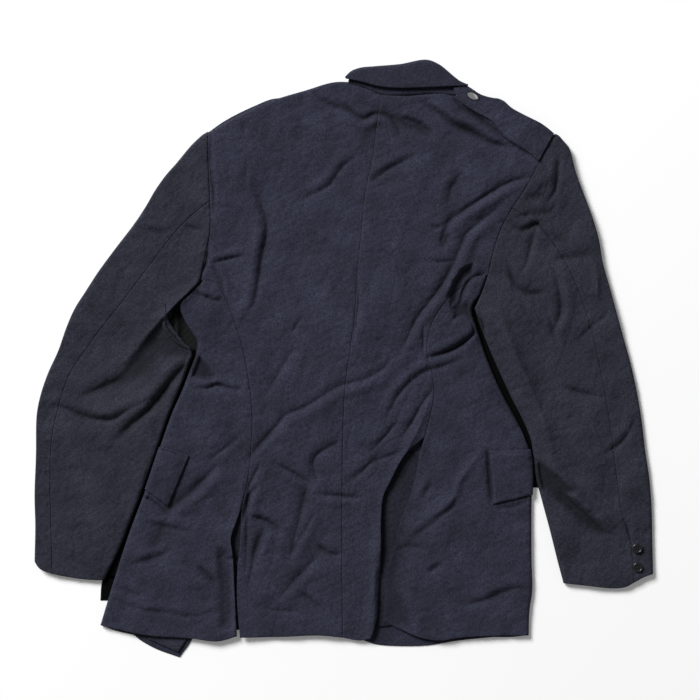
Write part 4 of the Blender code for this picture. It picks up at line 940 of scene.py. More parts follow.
def painted_shade_from_sunk(tree: bpy.types.NodeTree, colour: bpy.types.NodeSocket, start: float,
                      darkest: float) -> bpy.types.NodeSocket:
    """Paint shade into a colour by how far the cloth lies sunk, which its points hold.

    Args:
        tree: The material's node tree.
        colour: The colour of the open cloth.
        start: How far it lies sunk where it starts to darken, from 0 to 1.
        darkest: The share of its colour that it keeps in the deepest crease.

    Returns:
        The colour with its painted shade.
    """
    # Painted shade: the colour is darkened where the cloth lies sunk.
    sunk = add_node(tree, "ShaderNodeAttribute", {"attribute_name": "sunk"}).outputs["Fac"]
    shade = add_node(tree, "ShaderNodeMapRange", None,
                     {"From Min": start, "From Max": 1.0, "To Min": 1.0, "To Max": darkest},
                     {"Value": sunk})
    return add_node(tree, "ShaderNodeMixRGB", MULTIPLY, {"Fac": 1.0},
                    {"Color1": colour, "Color2": shade.outputs["Result"]}).outputs["Color"]


class WoolPaintedShade(Enum):
    """Painted shade: one wool in a lighter or darker copy for each part, for how its nap lies to the light.
    """

    BACK = "#2B2C3B"
    SLEEVE = "#292A35"
    COLLAR = "#282937"


@dataclass(frozen=True)
class WovenWool:
    """Worsted wool barathea, dyed navy in the piece and pressed: matt, with a fine slanting rib.

    The nap gives it a faint pale sheen where it turns away, its shade drifts a little over the
    panels, and small sharp creases run all over it. Painted shade darkens its colour in the creases,
    deeper where the relief sinks further, and on pieces given a fixed painted shade. The real rib of
    0.45 mm is too fine to show, so it is drawn as soft waves 8 mm apart, and the yarn's flecks of 0.6 mm
    at 2.3 mm.
    """

    name: str
    shade: WoolPaintedShade
    rib_turn: float = 62.0
    rib_mm: float = 8.168
    mottle_mm: float = 34.0
    fleck_mm: float = 2.3
    crumple_mm: float = 46.0
    lint_mm: float = 21.0
    painted_shade_start: float = 0.12
    painted_crease_shade: float = 0.4

    def build(self) -> bpy.types.Material:
        """Build the material."""
        made, shader = blank_material(self.name)
        tree, colour = made.node_tree, linear(self.shade.value)
        place = add_node(tree, "ShaderNodeTexCoord").outputs["Object"]
        mottle = add_node(tree, "ShaderNodeTexNoise", None,
                          {"Scale": per_metre(self.mottle_mm), "Detail": 3.0, "Roughness": 0.55},
                          {"Vector": place}).outputs["Fac"]
        fleck = add_node(tree, "ShaderNodeTexNoise", None,
                         {"Scale": per_metre(self.fleck_mm), "Detail": 2.0, "Roughness": 0.6},
                         {"Vector": place}).outputs["Fac"]
        drift = add_node(tree, "ShaderNodeValToRGB", None, None, {"Fac": mottle},
                         ((0.3, toned(colour, 0.8)), (0.7, toned(colour, 1.22))))
        speck = add_node(tree, "ShaderNodeValToRGB", None, None, {"Fac": fleck},
                         ((0.32, (0.56, 0.57, 0.6, 1.0)), (0.72, (1.5, 1.5, 1.46, 1.0))))
        cloth = add_node(tree, "ShaderNodeMixRGB", MULTIPLY, {"Fac": 1.0},
                         {"Color1": drift.outputs["Color"], "Color2": speck.outputs["Color"]})
        cells = add_node(tree, "ShaderNodeTexVoronoi", None, {"Scale": per_metre(self.lint_mm)},
                         {"Vector": place}).outputs["Distance"]
        lint = add_node(tree, "ShaderNodeMapRange", None,
                        {"From Min": 0.018, "From Max": 0.03, "To Min": 0.5, "To Max": 0.0},
                        {"Value": cells}).outputs["Result"]
        dusted = add_node(tree, "ShaderNodeMixRGB", None, {"Color2": linear("#8A8C96")},
                          {"Fac": lint, "Color1": cloth.outputs["Color"]}).outputs["Color"]
        turned = add_node(tree, "ShaderNodeMapping", None,
                          {"Rotation": (0.0, 0.0, math.radians(self.rib_turn))}, {"Vector": place})
        rib = add_node(tree, "ShaderNodeTexWave", {"wave_type": "BANDS", "bands_direction": "X"},
                       {"Scale": per_metre(self.rib_mm) * WAVE_LENGTH, "Distortion": 1.6, "Detail": 1.0,
                        "Detail Scale": 4.0}, {"Vector": turned.outputs["Vector"]})
        rough = add_node(tree, "ShaderNodeMath", {"operation": "ADD"}, None,
                         {0: rib.outputs["Fac"], 1: fleck})
        crumple = add_node(tree, "ShaderNodeTexNoise", {"noise_type": "RIDGED_MULTIFRACTAL"},
                           {"Scale": per_metre(self.crumple_mm), "Detail": 3.0, "Roughness": 0.5,
                            "Lacunarity": 2.3, "Offset": 1.0, "Gain": 1.6},
                           {"Vector": place}).outputs["Fac"]
        creased = add_node(tree, "ShaderNodeBump", {"invert": True},
                           {"Strength": 0.6, "Distance": 1.1 * MM}, {"Height": crumple})
        bump = add_node(tree, "ShaderNodeBump", None, {"Strength": 0.35, "Distance": 0.3 * MM},
                        {"Height": rough.outputs["Value"], "Normal": creased.outputs["Normal"]})
        # The base colour carries painted shade in the creases.
        set_inputs(tree, shader, {"Roughness": 0.88, "Specular IOR Level": 0.22, "Sheen Weight": 0.12,
                                  "Sheen Roughness": 0.45, "Sheen Tint": linear("#7C7F92")},
                   {"Base Color": painted_shade_from_sunk(tree, dusted, self.painted_shade_start, self.painted_crease_shade),
                    "Normal": bump.outputs["Normal"]})
        return made


@dataclass(frozen=True)
class TwillLining:
    """Viscose twill lining, woven and calendered: smooth and near black, with a soft gloss.

    The real rib of 0.4 mm is too fine to show, so it is drawn as soft waves 7 mm apart. In the gaps
    beside the arms it takes painted shade, down to a tenth of its colour, for the deep shadow there.
    """

    name: str = "viscose_lining_woven"
    colour: str = "#191B1B"
    rib_mm: float = 6.912
    rib_turn: float = 45.0
    painted_gap_shade: float = 0.1

    def build(self) -> bpy.types.Material:
        """Build the material."""
        made, shader = blank_material(self.name)
        tree, colour = made.node_tree, linear(self.colour)
        place = add_node(tree, "ShaderNodeTexCoord").outputs["Object"]
        turned = add_node(tree, "ShaderNodeMapping", None,
                          {"Rotation": (0.0, 0.0, math.radians(self.rib_turn))}, {"Vector": place})
        rib = add_node(tree, "ShaderNodeTexWave", None,
                       {"Scale": per_metre(self.rib_mm) * WAVE_LENGTH, "Distortion": 0.8},
                       {"Vector": turned.outputs["Vector"]}).outputs["Fac"]
        tone = add_node(tree, "ShaderNodeValToRGB", None, None, {"Fac": rib},
                        ((0.0, toned(colour, 0.85)), (1.0, toned(colour, 1.15)))).outputs["Color"]
        bump = add_node(tree, "ShaderNodeBump", None, {"Strength": 0.15, "Distance": 0.2 * MM},
                        {"Height": rib})
        # Painted shade for the gaps beside the arms goes into the base colour.
        set_inputs(tree, shader, {"Roughness": 0.7, "Specular IOR Level": 0.05},
                   {"Base Color": painted_shade_from_sunk(tree, tone, 0.0, self.painted_gap_shade),
                    "Normal": bump.outputs["Normal"]})
        return made


@dataclass(frozen=True)
class CloudedFinish:
    """A finish without relief, whose colour drifts between two tones over a fine pattern."""

    name: str
    colour: str
    cloud_mm: float
    light_tone: float
    roughness: float
    ior: float
    dark_tone: float = 0.7

    def build(self) -> bpy.types.Material:
        """Build the material."""
        made, shader = blank_material(self.name)
        tree, colour = made.node_tree, linear(self.colour)
        place = add_node(tree, "ShaderNodeTexCoord").outputs["Object"]
        cloud = add_node(tree, "ShaderNodeTexNoise", None, {"Scale": per_metre(self.cloud_mm)},
                         {"Vector": place}).outputs["Fac"]
        tone = add_node(tree, "ShaderNodeValToRGB", None, None, {"Fac": cloud},
                        ((0.0, toned(colour, self.dark_tone)), (1.0, toned(colour, self.light_tone))))
        set_inputs(tree, shader, {"Roughness": self.roughness, "IOR": self.ior},
                   {"Base Color": tone.outputs["Color"]})
        return made


@dataclass(frozen=True)
class CastPolyester(CloudedFinish):
    """Polyester resin buttons, cast and tumble polished: near black, with a soft clear glint."""

    name: str = "polyester_resin_polished"
    colour: str = "#1B1B1E"
    cloud_mm: float = 3.0
    light_tone: float = 1.4
    roughness: float = 0.28
    ior: float = 1.55


@dataclass(frozen=True)
class SpunThread(CloudedFinish):
    """Spun polyester sewing thread, twisted: matt, a shade darker than the cloth it sits in."""

    name: str = "polyester_thread_spun"
    colour: str = "#24252F"
    cloud_mm: float = 0.7
    light_tone: float = 1.3
    roughness: float = 0.8
    ior: float = 1.5


def make_finishes() -> dict[str, bpy.types.Material]:
    """Build every finish of the jacket once.

    Returns:
        The materials, by the slot of the record that each dresses, and the thread.
    """
    # The sleeve and collar take darker copies of the back's wool: painted shade.
    return {"wool_back": WovenWool("wool_barathea_back", WoolPaintedShade.BACK).build(),
            "wool_sleeve": WovenWool("wool_barathea_sleeve", WoolPaintedShade.SLEEVE, 48.0).build(),
            "wool_collar": WovenWool("wool_barathea_collar", WoolPaintedShade.COLLAR, 28.0).build(),
            "lining": TwillLining().build(), "button": CastPolyester().build(),
            "thread": SpunThread().build()}


# Making pieces.


class Held(Enum):
    """How a piece of cloth lies."""

    LAID = "laid"
    FOLDED = "folded"


def new_object(name: str, points: Sequence, faces: list, edges: Sequence[Point] = ()) -> bpy.types.Object:
    """Make a smooth object.

    Args:
        name: The name of the object and its mesh.
        points: Its points, in mm.
        faces: Its faces, as numbers of points.
        edges: Its edges that have no face.

    Returns:
        The new object.
    """
    mesh = bpy.data.meshes.new(name)
    mesh.from_pydata((np.array(points) * MM).tolist(), list(edges), faces)
    mesh.shade_smooth()
    made = bpy.data.objects.new(name, mesh)
    bpy.context.scene.collection.objects.link(made)
    return made


@dataclass
class Cutter:
    """Cuts, thickens, sews and places the pieces."""

    finishes: dict[str, bpy.types.Material]
    made: dict[str, bpy.types.Object] = field(default_factory=dict)
    thread_rings: tuple[float, ...] = (-1.0, -0.72, 0.0, 0.72, 1.0)
    thread_sides: int = 6
    stitch_half: float = 0.36

    def surface(self, name: str, grid: np.ndarray, outward: Vector) -> bpy.types.Object:
        """Make the outer face of a piece from its grid.

        Args:
            name: The name of the piece.
            grid: Its points, indexed [across][down][xyz], in mm.
            outward: The way that its flat middle faces.

        Returns:
            The new object.
        """
        wide, long = grid.shape[:2]
        index = np.arange(wide * long).reshape(wide, long)
        quads = np.stack([index[:-1, :-1], index[1:, :-1], index[1:, 1:], index[:-1, 1:]], axis=2)
        middle = grid[wide // 3, long // 2]
        step, down = grid[wide // 3 + 1, long // 2] - middle, grid[wide // 3, long // 2 + 1] - middle
        if np.dot(np.cross(step, down), outward) < 0:
            quads = quads[:, :, ::-1]
        return new_object(name, grid.reshape(-1, 3), quads.reshape(-1, 4).tolist())

    def cloth(self, name: str, grid: np.ndarray, slot: str, held: Held = Held.LAID,
              rests_on: Sequence[str] = (TABLE,), nodes: Optional[Sequence[str]] = None,
              outward: Vector = UP, wall: float = CLOTH, sunk: Optional[float] = None) -> bpy.types.Object:
        """Args:
            name: The name of the piece.
            grid: Its outer face, in mm.
            slot: The slot of the record that it takes its finish from.
            held: How it lies; not used.
            rests_on: What it lies on; not used.
            nodes: The solids that it stands for, or None for the one of its own name.
            outward: The way that its flat middle faces.
            wall: Its thickness, in mm.
            sunk: How much painted shade it takes, from 0 to 1, or None to take it from the creases.

        Returns:
            The new object.
        """
        piece = self.surface(name + "_cloth", grid, outward)
        shell = piece.modifiers.new("cloth", "SOLIDIFY")
        shell.thickness, shell.offset = wall * MM, -1.0
        # Wool, and pieces given a fixed value, carry painted shade by how far they lie sunk.
        if slot.startswith("wool") or sunk is not None:
            self.mark_painted_shade(piece, grid.reshape(-1, 3)[:, :2], sunk)
        self.dress(piece, slot, self.finishes[slot])
        stands_for = [name] if nodes is None else nodes
        if stands_for:
            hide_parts(*stands_for)
        width, length = longest(grid, 0) * MM, longest(grid, 1) * MM
        area = grid_area(grid) * MM * MM
        # A piece much narrower than its longest line across is stated by its area.
        if area < 0.4 * width * length:
            width = max(1.3 * area / length, NARROWEST_CUT * MM)
        LOG.info("%s: cut %.0f by %.0f mm, %.4f square metres", name, width / MM, length / MM, area)
        return piece

    @staticmethod
    def mark_painted_shade(piece: bpy.types.Object, plan: np.ndarray, sunk: Optional[float]) -> None:
        """Note at each point how far the cloth lies sunk, which its finish turns into painted shade.

        Args:
            piece: The piece of cloth.
            plan: Where its points lie, in mm.
            sunk: How much painted shade it takes, from 0 to 1, or None to take it from the creases.
        """
        if sunk is None:
            values = np.clip(-RELIEF.height(plan) / DEEPEST_CREASE, 0.0, 1.0)
        else:
            values = np.full(len(plan), sunk)
        marks = piece.data.attributes.new("sunk", "FLOAT", "POINT")
        marks.data.foreach_set("value", values.astype(np.float32))

    def dress(self, piece: bpy.types.Object, slot: str, finish: bpy.types.Material) -> None:
        """Give a piece its finish and let it ride on the jacket.

        Args:
            piece: The piece.
            slot: The slot of the record that it belongs to; not used.
            finish: What it is made of.
        """
        piece.data.materials.clear()
        piece.data.materials.append(finish)
        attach(piece, "root")
        self.made[piece.name] = piece

    def stitches(self, name: str, runs: Sequence[np.ndarray], slot: str, pitch: float = 3.2,
                 thick: float = 0.55) -> bpy.types.Object:
        """Sew rows of stitches along lines on the surface.

        Args:
            name: The name of the rows.
            runs: The lines, in mm, at the height of the surface.
            slot: The slot of the record that the thread belongs to.
            pitch: The length of a stitch and its gap, in mm.
            thick: The thickness of the thread, in mm.

        Returns:
            The new object.
        """
        points: list[np.ndarray] = []
        faces: list[list[int]] = []
        sides, rings, reach = self.thread_sides, self.thread_rings, pitch * self.stitch_half
        for run in runs:
            for middle in np.arange(pitch / 2, run_of(run)[-1] - pitch / 2, pitch):
                ends = at_stops(run, np.array([middle - reach, middle + reach]))
                centre, way = ends.mean(axis=0), ends[1] - ends[0]
                half = np.linalg.norm(way) / 2
                way = way / max(2 * half, 1e-6)
                across = np.cross(way, UP)
                across /= max(np.linalg.norm(across), 1e-6)
                up = np.cross(across, way)
                base, last = len(points), len(points) + (len(rings) - 1) * sides
                for ring in rings:
                    wide = thick / 2 * math.sqrt(max(1 - ring * ring, 0.04))
                    for turn in (math.tau * k / sides for k in range(sides)):
                        points.append(centre + way * half * ring
                                      + (across * math.cos(turn) + up * math.sin(turn)) * wide)
                for row in range(base, last, sides):
                    for a, b in ((row + k, row + (k + 1) % sides) for k in range(sides)):
                        faces.append([a, b, b + sides, a + sides])
                faces += [[base + k for k in reversed(range(sides))], [last + k for k in range(sides)]]
        piece = new_object(name, points, faces)
        self.dress(piece, slot, self.finishes["thread"])
        return piece


@dataclass
class Body:
    """Back panels, side panels that turn round the side folds, and the fronts on the table."""

    cutter: Cutter
    halves: tuple[Half, Half] = (LEFT, RIGHT)
    rows: int = 335
    columns: int = 100
    side_rows: int = 232
    side_columns: int = 60
    under_columns: int = 16
    front_columns: int = 30
    front_rows: int = 90
    front_wall: float = 2.4

    def build(self) -> None:
        """Cut every panel of the body."""
        for cut in (self.back, self.side, self.front):
            for half in self.halves:
                cut(half)

    def back(self, half: Half) -> None:
        """Cut a back panel, from the centre seam to the armhole, side seam and vent.

        Args:
            half: The half of the jacket.
        """
        lines = [resampled(chain(half.armhole_top, half.armhole_mid, half.seam_head, half.seam,
                                 half.vent_back), self.rows), even(CENTRE_SEAM, self.rows)]
        west, east = lines if half is LEFT else lines[::-1]
        grid = panel(west, east, even(half.shoulder, self.columns), even(half.hem, self.columns),
                     Edges(north=EdgeKind.FOLD), upper_face)
        self.cutter.cloth("back_" + half.side, grid, "wool_back",
                          rests_on=["front_" + half.side, "side_" + half.side])

    def side(self, half: Half) -> None:
        """Cut a side panel, from the back seam round the fold to the front seam.

        Args:
            half: The half of the jacket.
        """
        fold, corner = even(half.fold, self.side_rows), [half.fold[0]]
        top = panel(resampled(chain(half.seam, half.vent_side), self.side_rows), fold,
                    even(half.seam_head[::-1][:-1] + corner, self.side_columns),
                    even(half.side_hem[::-1], self.side_columns), Edges(east=EdgeKind.FOLD), upper_face)
        under = panel(fold, even(half.front_seam, self.side_rows),
                      even(corner + half.front_seam_head[1:], self.under_columns),
                      even(half.low_side_hem, self.under_columns), Edges(west=EdgeKind.FOLD), lower_face)
        self.cutter.cloth("side_" + half.side, wrapped(top, under), "wool_back", Held.FOLDED)

    def front(self, half: Half) -> None:
        """Cut a front, which lies on the table.

        Args:
            half: The half of the jacket.
        """
        outer = resampled(chain([half.neck[0]] + half.low_armhole_top[1:], half.low_armhole_mid,
                                half.front_seam_head, half.front_seam), self.front_rows)
        grid = panel(outer, even(half.front_edge, self.front_rows), even(half.neck, self.front_columns),
                     even(half.front_hem, self.front_columns),
                     Edges(east=EdgeKind.TURNED, north=EdgeKind.FOLD), lower_face)
        self.cutter.cloth("front_" + half.side, grid, "wool_back", outward=DOWN, wall=self.front_wall)


@dataclass
class Sleeve:
    """One arm: an upper sleeve round its outer fold and an under sleeve round its inner fold."""

    cutter: Cutter
    half: Half
    rows: int = 268
    outer_columns: int = 18
    inner_columns: int = 60
    under_columns: int = 14

    def build(self) -> None:
        """Cut the two pieces of the sleeve."""
        half = self.half
        self.piece("sleeve_top_", half.arm_outer, even(half.armhole_top[::-1], self.outer_columns),
                   even(half.low_armhole_top, self.under_columns), half.cuff_outer, half.cuff_low_outer)
        self.piece("sleeve_under_", half.arm_inner,
                   resampled(chain(half.armhole_mid, half.armhole_low), self.inner_columns),
                   resampled(chain(half.low_armhole_low[::-1], half.low_armhole_mid[::-1]),
                             self.under_columns), half.cuff_inner, half.cuff_low_inner)

    def piece(self, kind: str, fold_points: Points, head: np.ndarray, low_head: np.ndarray, cuff: Points,
              low_cuff: Points) -> None:
        """Cut a piece of the sleeve, from the hind seam round its fold to the seam on the table.

        Args:
            kind: The start of its name.
            fold_points: Its fold.
            head: The edge at the armhole on the top layer.
            low_head: The edge at the armhole on the table.
            cuff: The edge at the cuff on the top layer.
            low_cuff: The edge at the cuff on the table.
        """
        hind, fold, under = (even(line, self.rows)
                             for line in (self.half.arm_hind, fold_points, self.half.arm_under))
        top = panel(hind, fold, head, even(cuff, len(head) - 1),
                    Edges(east=EdgeKind.FOLD, north=EdgeKind.ARMHOLE), upper_face)
        low = panel(fold, under, low_head, even(low_cuff, len(low_head) - 1), Edges(west=EdgeKind.FOLD),
                    lower_face)
        self.cutter.cloth(kind + self.half.side, wrapped(top, low), "wool_sleeve", Held.FOLDED)


@dataclass
class Collar:
    """The leaf folded over the back of the neck, and the stand inside it."""

    cutter: Cutter
    columns: int = 110
    top: float = 18.4
    middle: float = 9.0
    bottom: float = 4.2
    leaf_wall: float = 2.2
    wave_height: float = 0.35
    full_width: float = 20.0
    edge_drops: Points = field(default_factory=lambda: [(0.0, 1.3), (0.35, 0.6), (0.9, 0.18), (2.0, 0.0)])
    stitch_inset: float = 5.0
    stand_height: float = 11.8
    stand_wall: float = 2.0
    stand_rows: int = 10
    rib_height: float = 0.22

    def build(self) -> None:
        """Cut the leaf and the stand."""
        self.leaf()
        self.stand()

    def leaf(self) -> None:
        """Cut the leaf, which turns round the roll line to the inside of the neck, and stitch it."""
        roll, leaf, low = (even(line, self.columns) for line in (COLLAR_ROLL, COLLAR_LEAF, COLLAR_UNDER))
        depth = np.linalg.norm(leaf - roll, axis=1)[:, None]
        way = (leaf - roll) / np.maximum(depth, 0.1)
        reach = np.minimum(1.0, depth / self.full_width)
        face = self.top + self.wave_height * np.sin(np.linspace(0, 9.0, self.columns + 1))[:, None]
        turns = np.radians(FOLD_ANGLES)
        rows = [np.hstack([leaf - way * inset * reach, face - drop]) for inset, drop in self.edge_drops]
        rows += [np.hstack([roll + way * (depth * part), face]) for part in np.linspace(0.85, 0.45, 6)]
        rows += [np.hstack([roll + way * (FOLD_RADIUS * (1 - math.cos(turn)) * reach),
                            self.middle + (face - self.middle) * math.sin(turn)]) for turn in turns[::-1]]
        fall = self.middle - self.bottom
        rows += [np.hstack([roll + (low - roll) * (1 - math.cos(turn)),
                            np.full_like(depth, self.middle - fall * math.sin(turn))])
                 for turn in turns[1:]]
        self.cutter.cloth("collar_leaf", np.stack(rows, axis=1), "wool_collar", Held.FOLDED,
                          ["collar_stand"], wall=self.leaf_wall)
        stitch = np.hstack([leaf - way * self.stitch_inset * reach, face + 0.1])
        self.cutter.stitches("collar_leaf_stitches", [stitch[4:-4]], "wool_collar")

    def stand(self) -> None:
        """Cut the ribbed stand."""
        plan = between(even(STAND_NECK, self.columns), even(STAND_TOP, self.columns), self.stand_rows)
        ribs = self.rib_height * np.sin(np.arange(self.columns + 1) * 2.1)[:, None]
        heights = np.full(plan.shape[:2], self.stand_height) + ribs
        self.cutter.cloth("collar_stand", np.dstack([plan, heights]), "wool_collar",
                          rests_on=["back_left", "back_right"], wall=self.stand_wall)


@dataclass
class Straps:
    """Shoulder straps: the right one lies on the shoulder, the left one under it on the table."""

    cutter: Cutter
    columns: int = 150
    rows: int = 34
    wall: float = 2.6
    rise: float = 0.5
    bow: float = 1.4
    stitch_inset: float = 0.19
    stitch_rise: float = 0.12
    hole: Point = (178.0, 362.3)
    hole_halves: Point = (8.0, 4.3)
    hole_turn: float = -24.0
    hole_stitches: int = 44
    hole_stitch_span: Point = (0.1, 2.4)
    left_columns: int = 40
    left_rows: int = 14
    left_top: float = 2.2
    left_wall: float = 2.0

    def build(self) -> None:
        """Make both straps."""
        self.right()
        self.left()

    def face(self, plan: np.ndarray) -> np.ndarray:
        """Return the height of the strap's face where it lies on the shoulder, before its bow."""
        return np.maximum(top_height(plan), FLAT_TOP + CHEST_LIFT) + self.wall + self.rise

    def right(self) -> None:
        """Make the right strap with its worked buttonhole and its rows of stitches."""
        low, high = even(RIGHT_STRAP_LOWER, self.columns), even(RIGHT_STRAP_UPPER, self.columns)
        plan = respaced(between(low, high, self.rows).transpose(1, 0, 2), EdgeKind.TURNED,
                        EdgeKind.TURNED).transpose(1, 0, 2)
        bow = self.bow * np.sin(math.pi * np.clip(np.linspace(0.0, 1.6, len(plan)), 0.0, 1.0))
        drop = edge_values(plan.shape[1], EdgeKind.TURNED, EdgeKind.TURNED, 2)
        grid = np.dstack([plan, self.face(plan) + bow[:, None] - drop])
        strap = self.cutter.cloth("strap_right", grid, "wool_back", rests_on=["back_right"], wall=self.wall)
        self.buttonhole(strap)
        runs = []
        for part in (self.stitch_inset, 1 - self.stitch_inset):
            run = low * (1 - part) + high * part
            runs.append(np.column_stack([run, self.face(run) + bow + self.stitch_rise])[3:-3])
        self.cutter.stitches("strap_right_stitches", runs, "wool_back")

    def buttonhole(self, strap: bpy.types.Object) -> None:
        """Open the buttonhole in the outer face and work its edge with close stitches.

        Args:
            strap: The right strap.
        """
        spin, centre, halves = math.radians(self.hole_turn), np.array(self.hole), np.array(self.hole_halves)
        axes = np.array([[math.cos(spin), math.sin(spin)], [-math.sin(spin), math.cos(spin)]])
        face = bmesh.new()
        face.from_mesh(strap.data)

        def ring(place: Vector) -> np.ndarray:
            """Return a place as shares of the hole's two half widths."""
            return axes @ (np.array(place.xy) / MM - centre) / halves

        inside = {f for f in face.faces if np.linalg.norm(ring(f.calc_center_median())) < 1}
        rim = {v for f in inside for v in f.verts if any(g not in inside for g in v.link_faces)}
        for vert in rim:
            at = ring(vert.co)
            vert.co.xy = (centre + (at / np.linalg.norm(at) * halves) @ axes) * MM
        bmesh.ops.delete(face, geom=list(inside), context="FACES")
        face.to_mesh(strap.data)
        face.free()
        height = float(self.face(centre[None])[0]) + 0.15 + self.bow * 0.6
        bars = []
        for angle in np.linspace(0, math.tau, self.hole_stitches, endpoint=False):
            way = (np.array([math.cos(angle), math.sin(angle)]) * halves) @ axes
            ends = [centre + way + way / np.linalg.norm(way) * out for out in self.hole_stitch_span]
            bars.append(np.column_stack([ends, [height, height]]))
        self.cutter.stitches("strap_right_buttonhole_stitches", bars, "wool_back", pitch=2.2, thick=0.8)

    def left(self) -> None:
        """Make the left strap, of which only the edge shows."""
        plan = between(even(LEFT_STRAP_LOWER, self.left_columns), even(LEFT_STRAP_UPPER, self.left_columns),
                       self.left_rows)
        grid = np.dstack([plan, np.full(plan.shape[:2], self.left_top)])
        self.cutter.cloth("strap_left", grid, "wool_back", wall=self.left_wall)


@dataclass
class PocketFlap:
    """A pocket flap, laid on the side panel and turned round the side fold."""

    cutter: Cutter
    half: Half
    rows: int = 34
    columns: int = 26
    wall: float = 2.2
    lift: float = 0.7
    end_drop: float = 0.9
    stitch_inset: float = 6.0
    stitch_rise: float = 0.12
    turn_angles: tuple[float, ...] = (75.0, 60.0, 48.0, 36.0)

    def build(self) -> None:
        """Make the flap and its row of stitches."""
        line, (start, end) = spline(self.half.fold), self.half.flap_span
        fold = resampled(line[(line[:, 1] <= start) & (line[:, 1] >= end)], self.rows)
        rear = even(self.half.flap_rear, self.rows)
        length = np.linalg.norm(fold - rear, axis=1)[:, None]
        way, stand = (fold - rear) / length, self.lift + self.wall
        turned = EDGE_ROWS[EdgeKind.TURNED]
        first = turned[-1][0]
        places = [(rear + way * inset, drop) for inset, _, drop in turned]
        places += [(rear + way * (first + (length - FOLD_RADIUS - first) * part), 0.0)
                   for part in np.linspace(0, 1, self.columns + 1)[1:]]
        rows = [np.column_stack([plan, top_height(plan) + stand - drop]) for plan, drop in places]
        for turn in np.radians(self.turn_angles):
            plan = fold - way * FOLD_RADIUS * (1 - math.cos(turn))
            height = upper_face(plan, np.full(len(plan), math.sin(turn)), np.zeros(len(plan)))
            rows.append(np.column_stack([plan + way * stand * math.cos(turn),
                                         height + stand * math.sin(turn)]))
        grid = np.stack(rows, axis=0)
        grid[:, [0, -1], 2] -= self.end_drop
        name, side = "flap_" + self.half.side, "side_" + self.half.side
        self.cutter.cloth(name, grid, "wool_back", rests_on=[side], wall=self.wall)
        seam = rear + way * self.stitch_inset
        run = np.column_stack([seam, top_height(seam) + stand + self.stitch_rise])
        self.cutter.stitches(name + "_stitches", [run[2:-2]], "wool_back")


